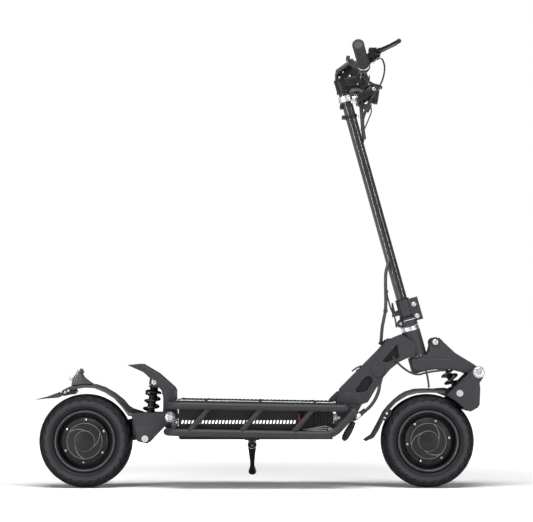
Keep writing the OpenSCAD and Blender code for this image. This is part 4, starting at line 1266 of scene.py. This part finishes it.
bits = bmesh.new()
for x, z in ((244, 1246), (254, 1262), (312, 1256), (324, 1262), (276, 1250), (300, 1226), (328, 1222)):
    for side in (-1, 1):
        bolt(bits, (x, side * 26, z), (0, side, 0), 3.6, 2.6, 20)
bolt(bits, stem_at(1128) + Vector((21, -8, 0)), (0.9, -0.4, 0), 3.4, 3, 20)
coated("cockpit_screws", bits, "steel", "stem")

clamp = bmesh.new()
turned(clamp, [(16.6, -9.5), (21, -9.5), (22.4, -8.5), (22.4, 8.5), (21, 9.5), (16.6, 9.5)], stem_at(1182),
       STEM_UP, 48)
both_sides(clamp, [(280, 1168), (306, 1174), (302, 1193), (276, 1188)], 2.5, 12, 2)
coated("lamp_clamp", clamp, "silver_alloy", "stem", "headlight_bracket")
clamp_bolt = bmesh.new()
for side in (-1, 1):
    bolt(clamp_bolt, (292, side * 12, 1181), (0, side, 0), 5, 3.4, 24)
coated("lamp_clamp_bolts", clamp_bolt, "steel", "stem")
arms = bmesh.new()
box(arms, (298, -39, 1168), (306, 39, 1192), 1.5)
both_sides(arms, [(298, 1168), (298, 1192), (338, 1216), (355, 1214), (355, 1200), (322, 1176)], 34.4, 38, 1.5)
coated("lamp_arms", arms, "black_casting", "stem")

LAMP = Matrix.Translation((365, 0, 1197.5)) @ Matrix.Rotation(math.radians(97), 4, "Y")
lamp_axis = LAMP.to_3x3() @ Vector((0, 0, 1))
barrel = bmesh.new()
profile = [(0, -37), (20, -37), (22, -36)]
for k in range(5):
    z = -34 + 3.6 * k
    rim = min(31, 25 + 1.8 * k)
    profile += [(rim - 2.5, z), (rim, z + 0.6), (rim, z + 2.0), (rim - 2.5, z + 2.6)]
profile += [(29, -14), (31, -13), (31, -1), (30.2, 0), (28, 0), (27.4, -2), (27, -6), (18, -16), (6, -19),
            (0, -19)]
turned(barrel, profile, LAMP.translation, lamp_axis, 64)
settle_mm("lamp_barrel", barrel, FINISHES["black_casting"], "headlight", "black_plastic", "headlight")
lens = bmesh.new()
turned(lens, [(27.2, -4), (27.2, -2), (22, -0.8), (10, -0.1), (0, 0), (0, -2), (10, -2.4), (22, -3.2),
              (27.2, -4)],
       LAMP.translation, lamp_axis, 48)
coated("lamp_lens", lens, "light_lens", "headlight")
bulb = bmesh.new()
turned(bulb, [(0, -18.8), (9, -18), (10, -14), (7, -10), (0, -8.5)], LAMP.translation, lamp_axis, 32)
settle_mm("lamp_diode", bulb, GLOW, "headlight", "light_lens")
pins = bmesh.new()
for side in (-1, 1):
    bolt(pins, (348, side * 38.2, 1207), (0, side, 0), 5.5, 3.4, 24)
coated("lamp_pivot_bolts", pins, "steel", "headlight")
wedge = bmesh.new()
turned(wedge, [(0, -6), (7, -6), (8, 0), (12, 10), (14, 18), (12.5, 19), (11, 12), (0, 4)], (322, -6, 1160),
       (0.9, 0, -0.42), 32)
plate(wedge, [(300, 1170), (318, 1170), (326, 1158), (318, 1152), (304, 1160)], -8, 4, 1.5)
coated("horn", wedge, "black_plastic", "stem")

stem_bolts = bmesh.new()
lean = Vector((math.cos(RAKE), 0, math.sin(RAKE)))
for along in (0, 37):
    spot = stem_at(508) + lean * 30 + STEM_UP * along
    for side in (-1, 1):
        turned(stem_bolts, [(0, 0), (8, 0), (8, 0.8), (0, 0.8)], spot + Vector((0, side * 13, 0)), (0, side, 0),
               32)
        bolt(stem_bolts, spot + Vector((0, side * 13.8, 0)), (0, side, 0), 6.5, 5)
for side in (-1, 1):
    for z in (1228, 1252):
        bolt(stem_bolts, (332, side * 14, z), (1, 0, 0), 4, 3, 24)
turned(stem_bolts, [(0, 0), (2.5, 0), (2.5, 22), (0, 22)], (408, -11, 519), (0, 1, 0), 20)
coated("pinch_bolts", stem_bolts, "steel", "stem", "stem_bolts")

# %% [markdown]
# ## Headset, brakes and stand
# The last pieces: turned rings at the head tube, brake discs on curved spokes, axle nuts, and a spring on the
# kickstand.

# %% Headset rings, discs and stand spring
rings = bmesh.new()
head = stem_at(433)
turned(rings, [(14.2, 38), (27.5, 38), (28, 39.5), (28, 43.5), (26.5, 44), (26.5, 45.5), (27.5, 46), (27.5, 51),
               (25, 52.3), (14.2, 52.3)], head, STEM_UP, 64)
turned(rings, [(14.2, -52), (24, -52), (24, -26), (14.2, -26)], head, STEM_UP, 48)
coated("headset_rings", rings, "steel", "frame", "headset_cups")

for name in ("front", "rear"):
    centre = Vector(joint[name + "_wheel_spin"]["pos_m"]) / MM
    rotor = bmesh.new()
    turned(rotor, [(52, 45.2), (70, 45.2), (70, 46.8), (52, 46.8), (52, 45.2)], centre, (0, 1, 0), 96)
    turned(rotor, [(16.5, 36.4), (33.5, 36.4), (33.5, 44), (36, 45.2), (36, 46.8), (16.5, 46.8), (16.5, 36.4)],
           centre, (0, 1, 0), 64)
    for k in range(9):
        angle = math.tau * k / 9
        spoke = [centre + Vector((r * math.cos(angle + s), 46, r * math.sin(angle + s)))
                 for r, s in ((34, 0), (42, 0.14), (53, 0.22))]
        swept(rotor, spoke, 1.1, 4)
    coated(name + "_brake_rotor", rotor, "steel", name + "_wheel", name + "_disc")

    fixings = bmesh.new()
    tip = 55 + 18
    turned(fixings, [(0, 0), (14, 0), (14, 1.2), (0, 1.2)], centre + Vector((0, tip, 0)), (0, 1, 0), 32)
    turned(fixings, [(0, 0), (12, 0), (12, 7), (9, 8.5), (0, 8.5)], centre + Vector((0, tip + 1.2, 0)),
           (0, 1, 0), 6)
    turned(fixings, [(0, 0), (7, 0), (7, 1.6), (6, 2.4), (0, 2.4)], centre + Vector((0, tip + 9, 0)), (0, 1, 0),
           24)
    coated(name + "_axle_nut", fixings, "steel", name + "_arm")

coil = bmesh.new()
route = []
for i in range(81):
    angle = math.tau * i / 16
    route.append(stand @ Vector((13.5 * math.cos(angle), 13.5 * math.sin(angle), -10.5 + 8 * i / 80)))
swept(coil, route, 0.8, 8)
coated("stand_spring", coil, "steel", "frame")
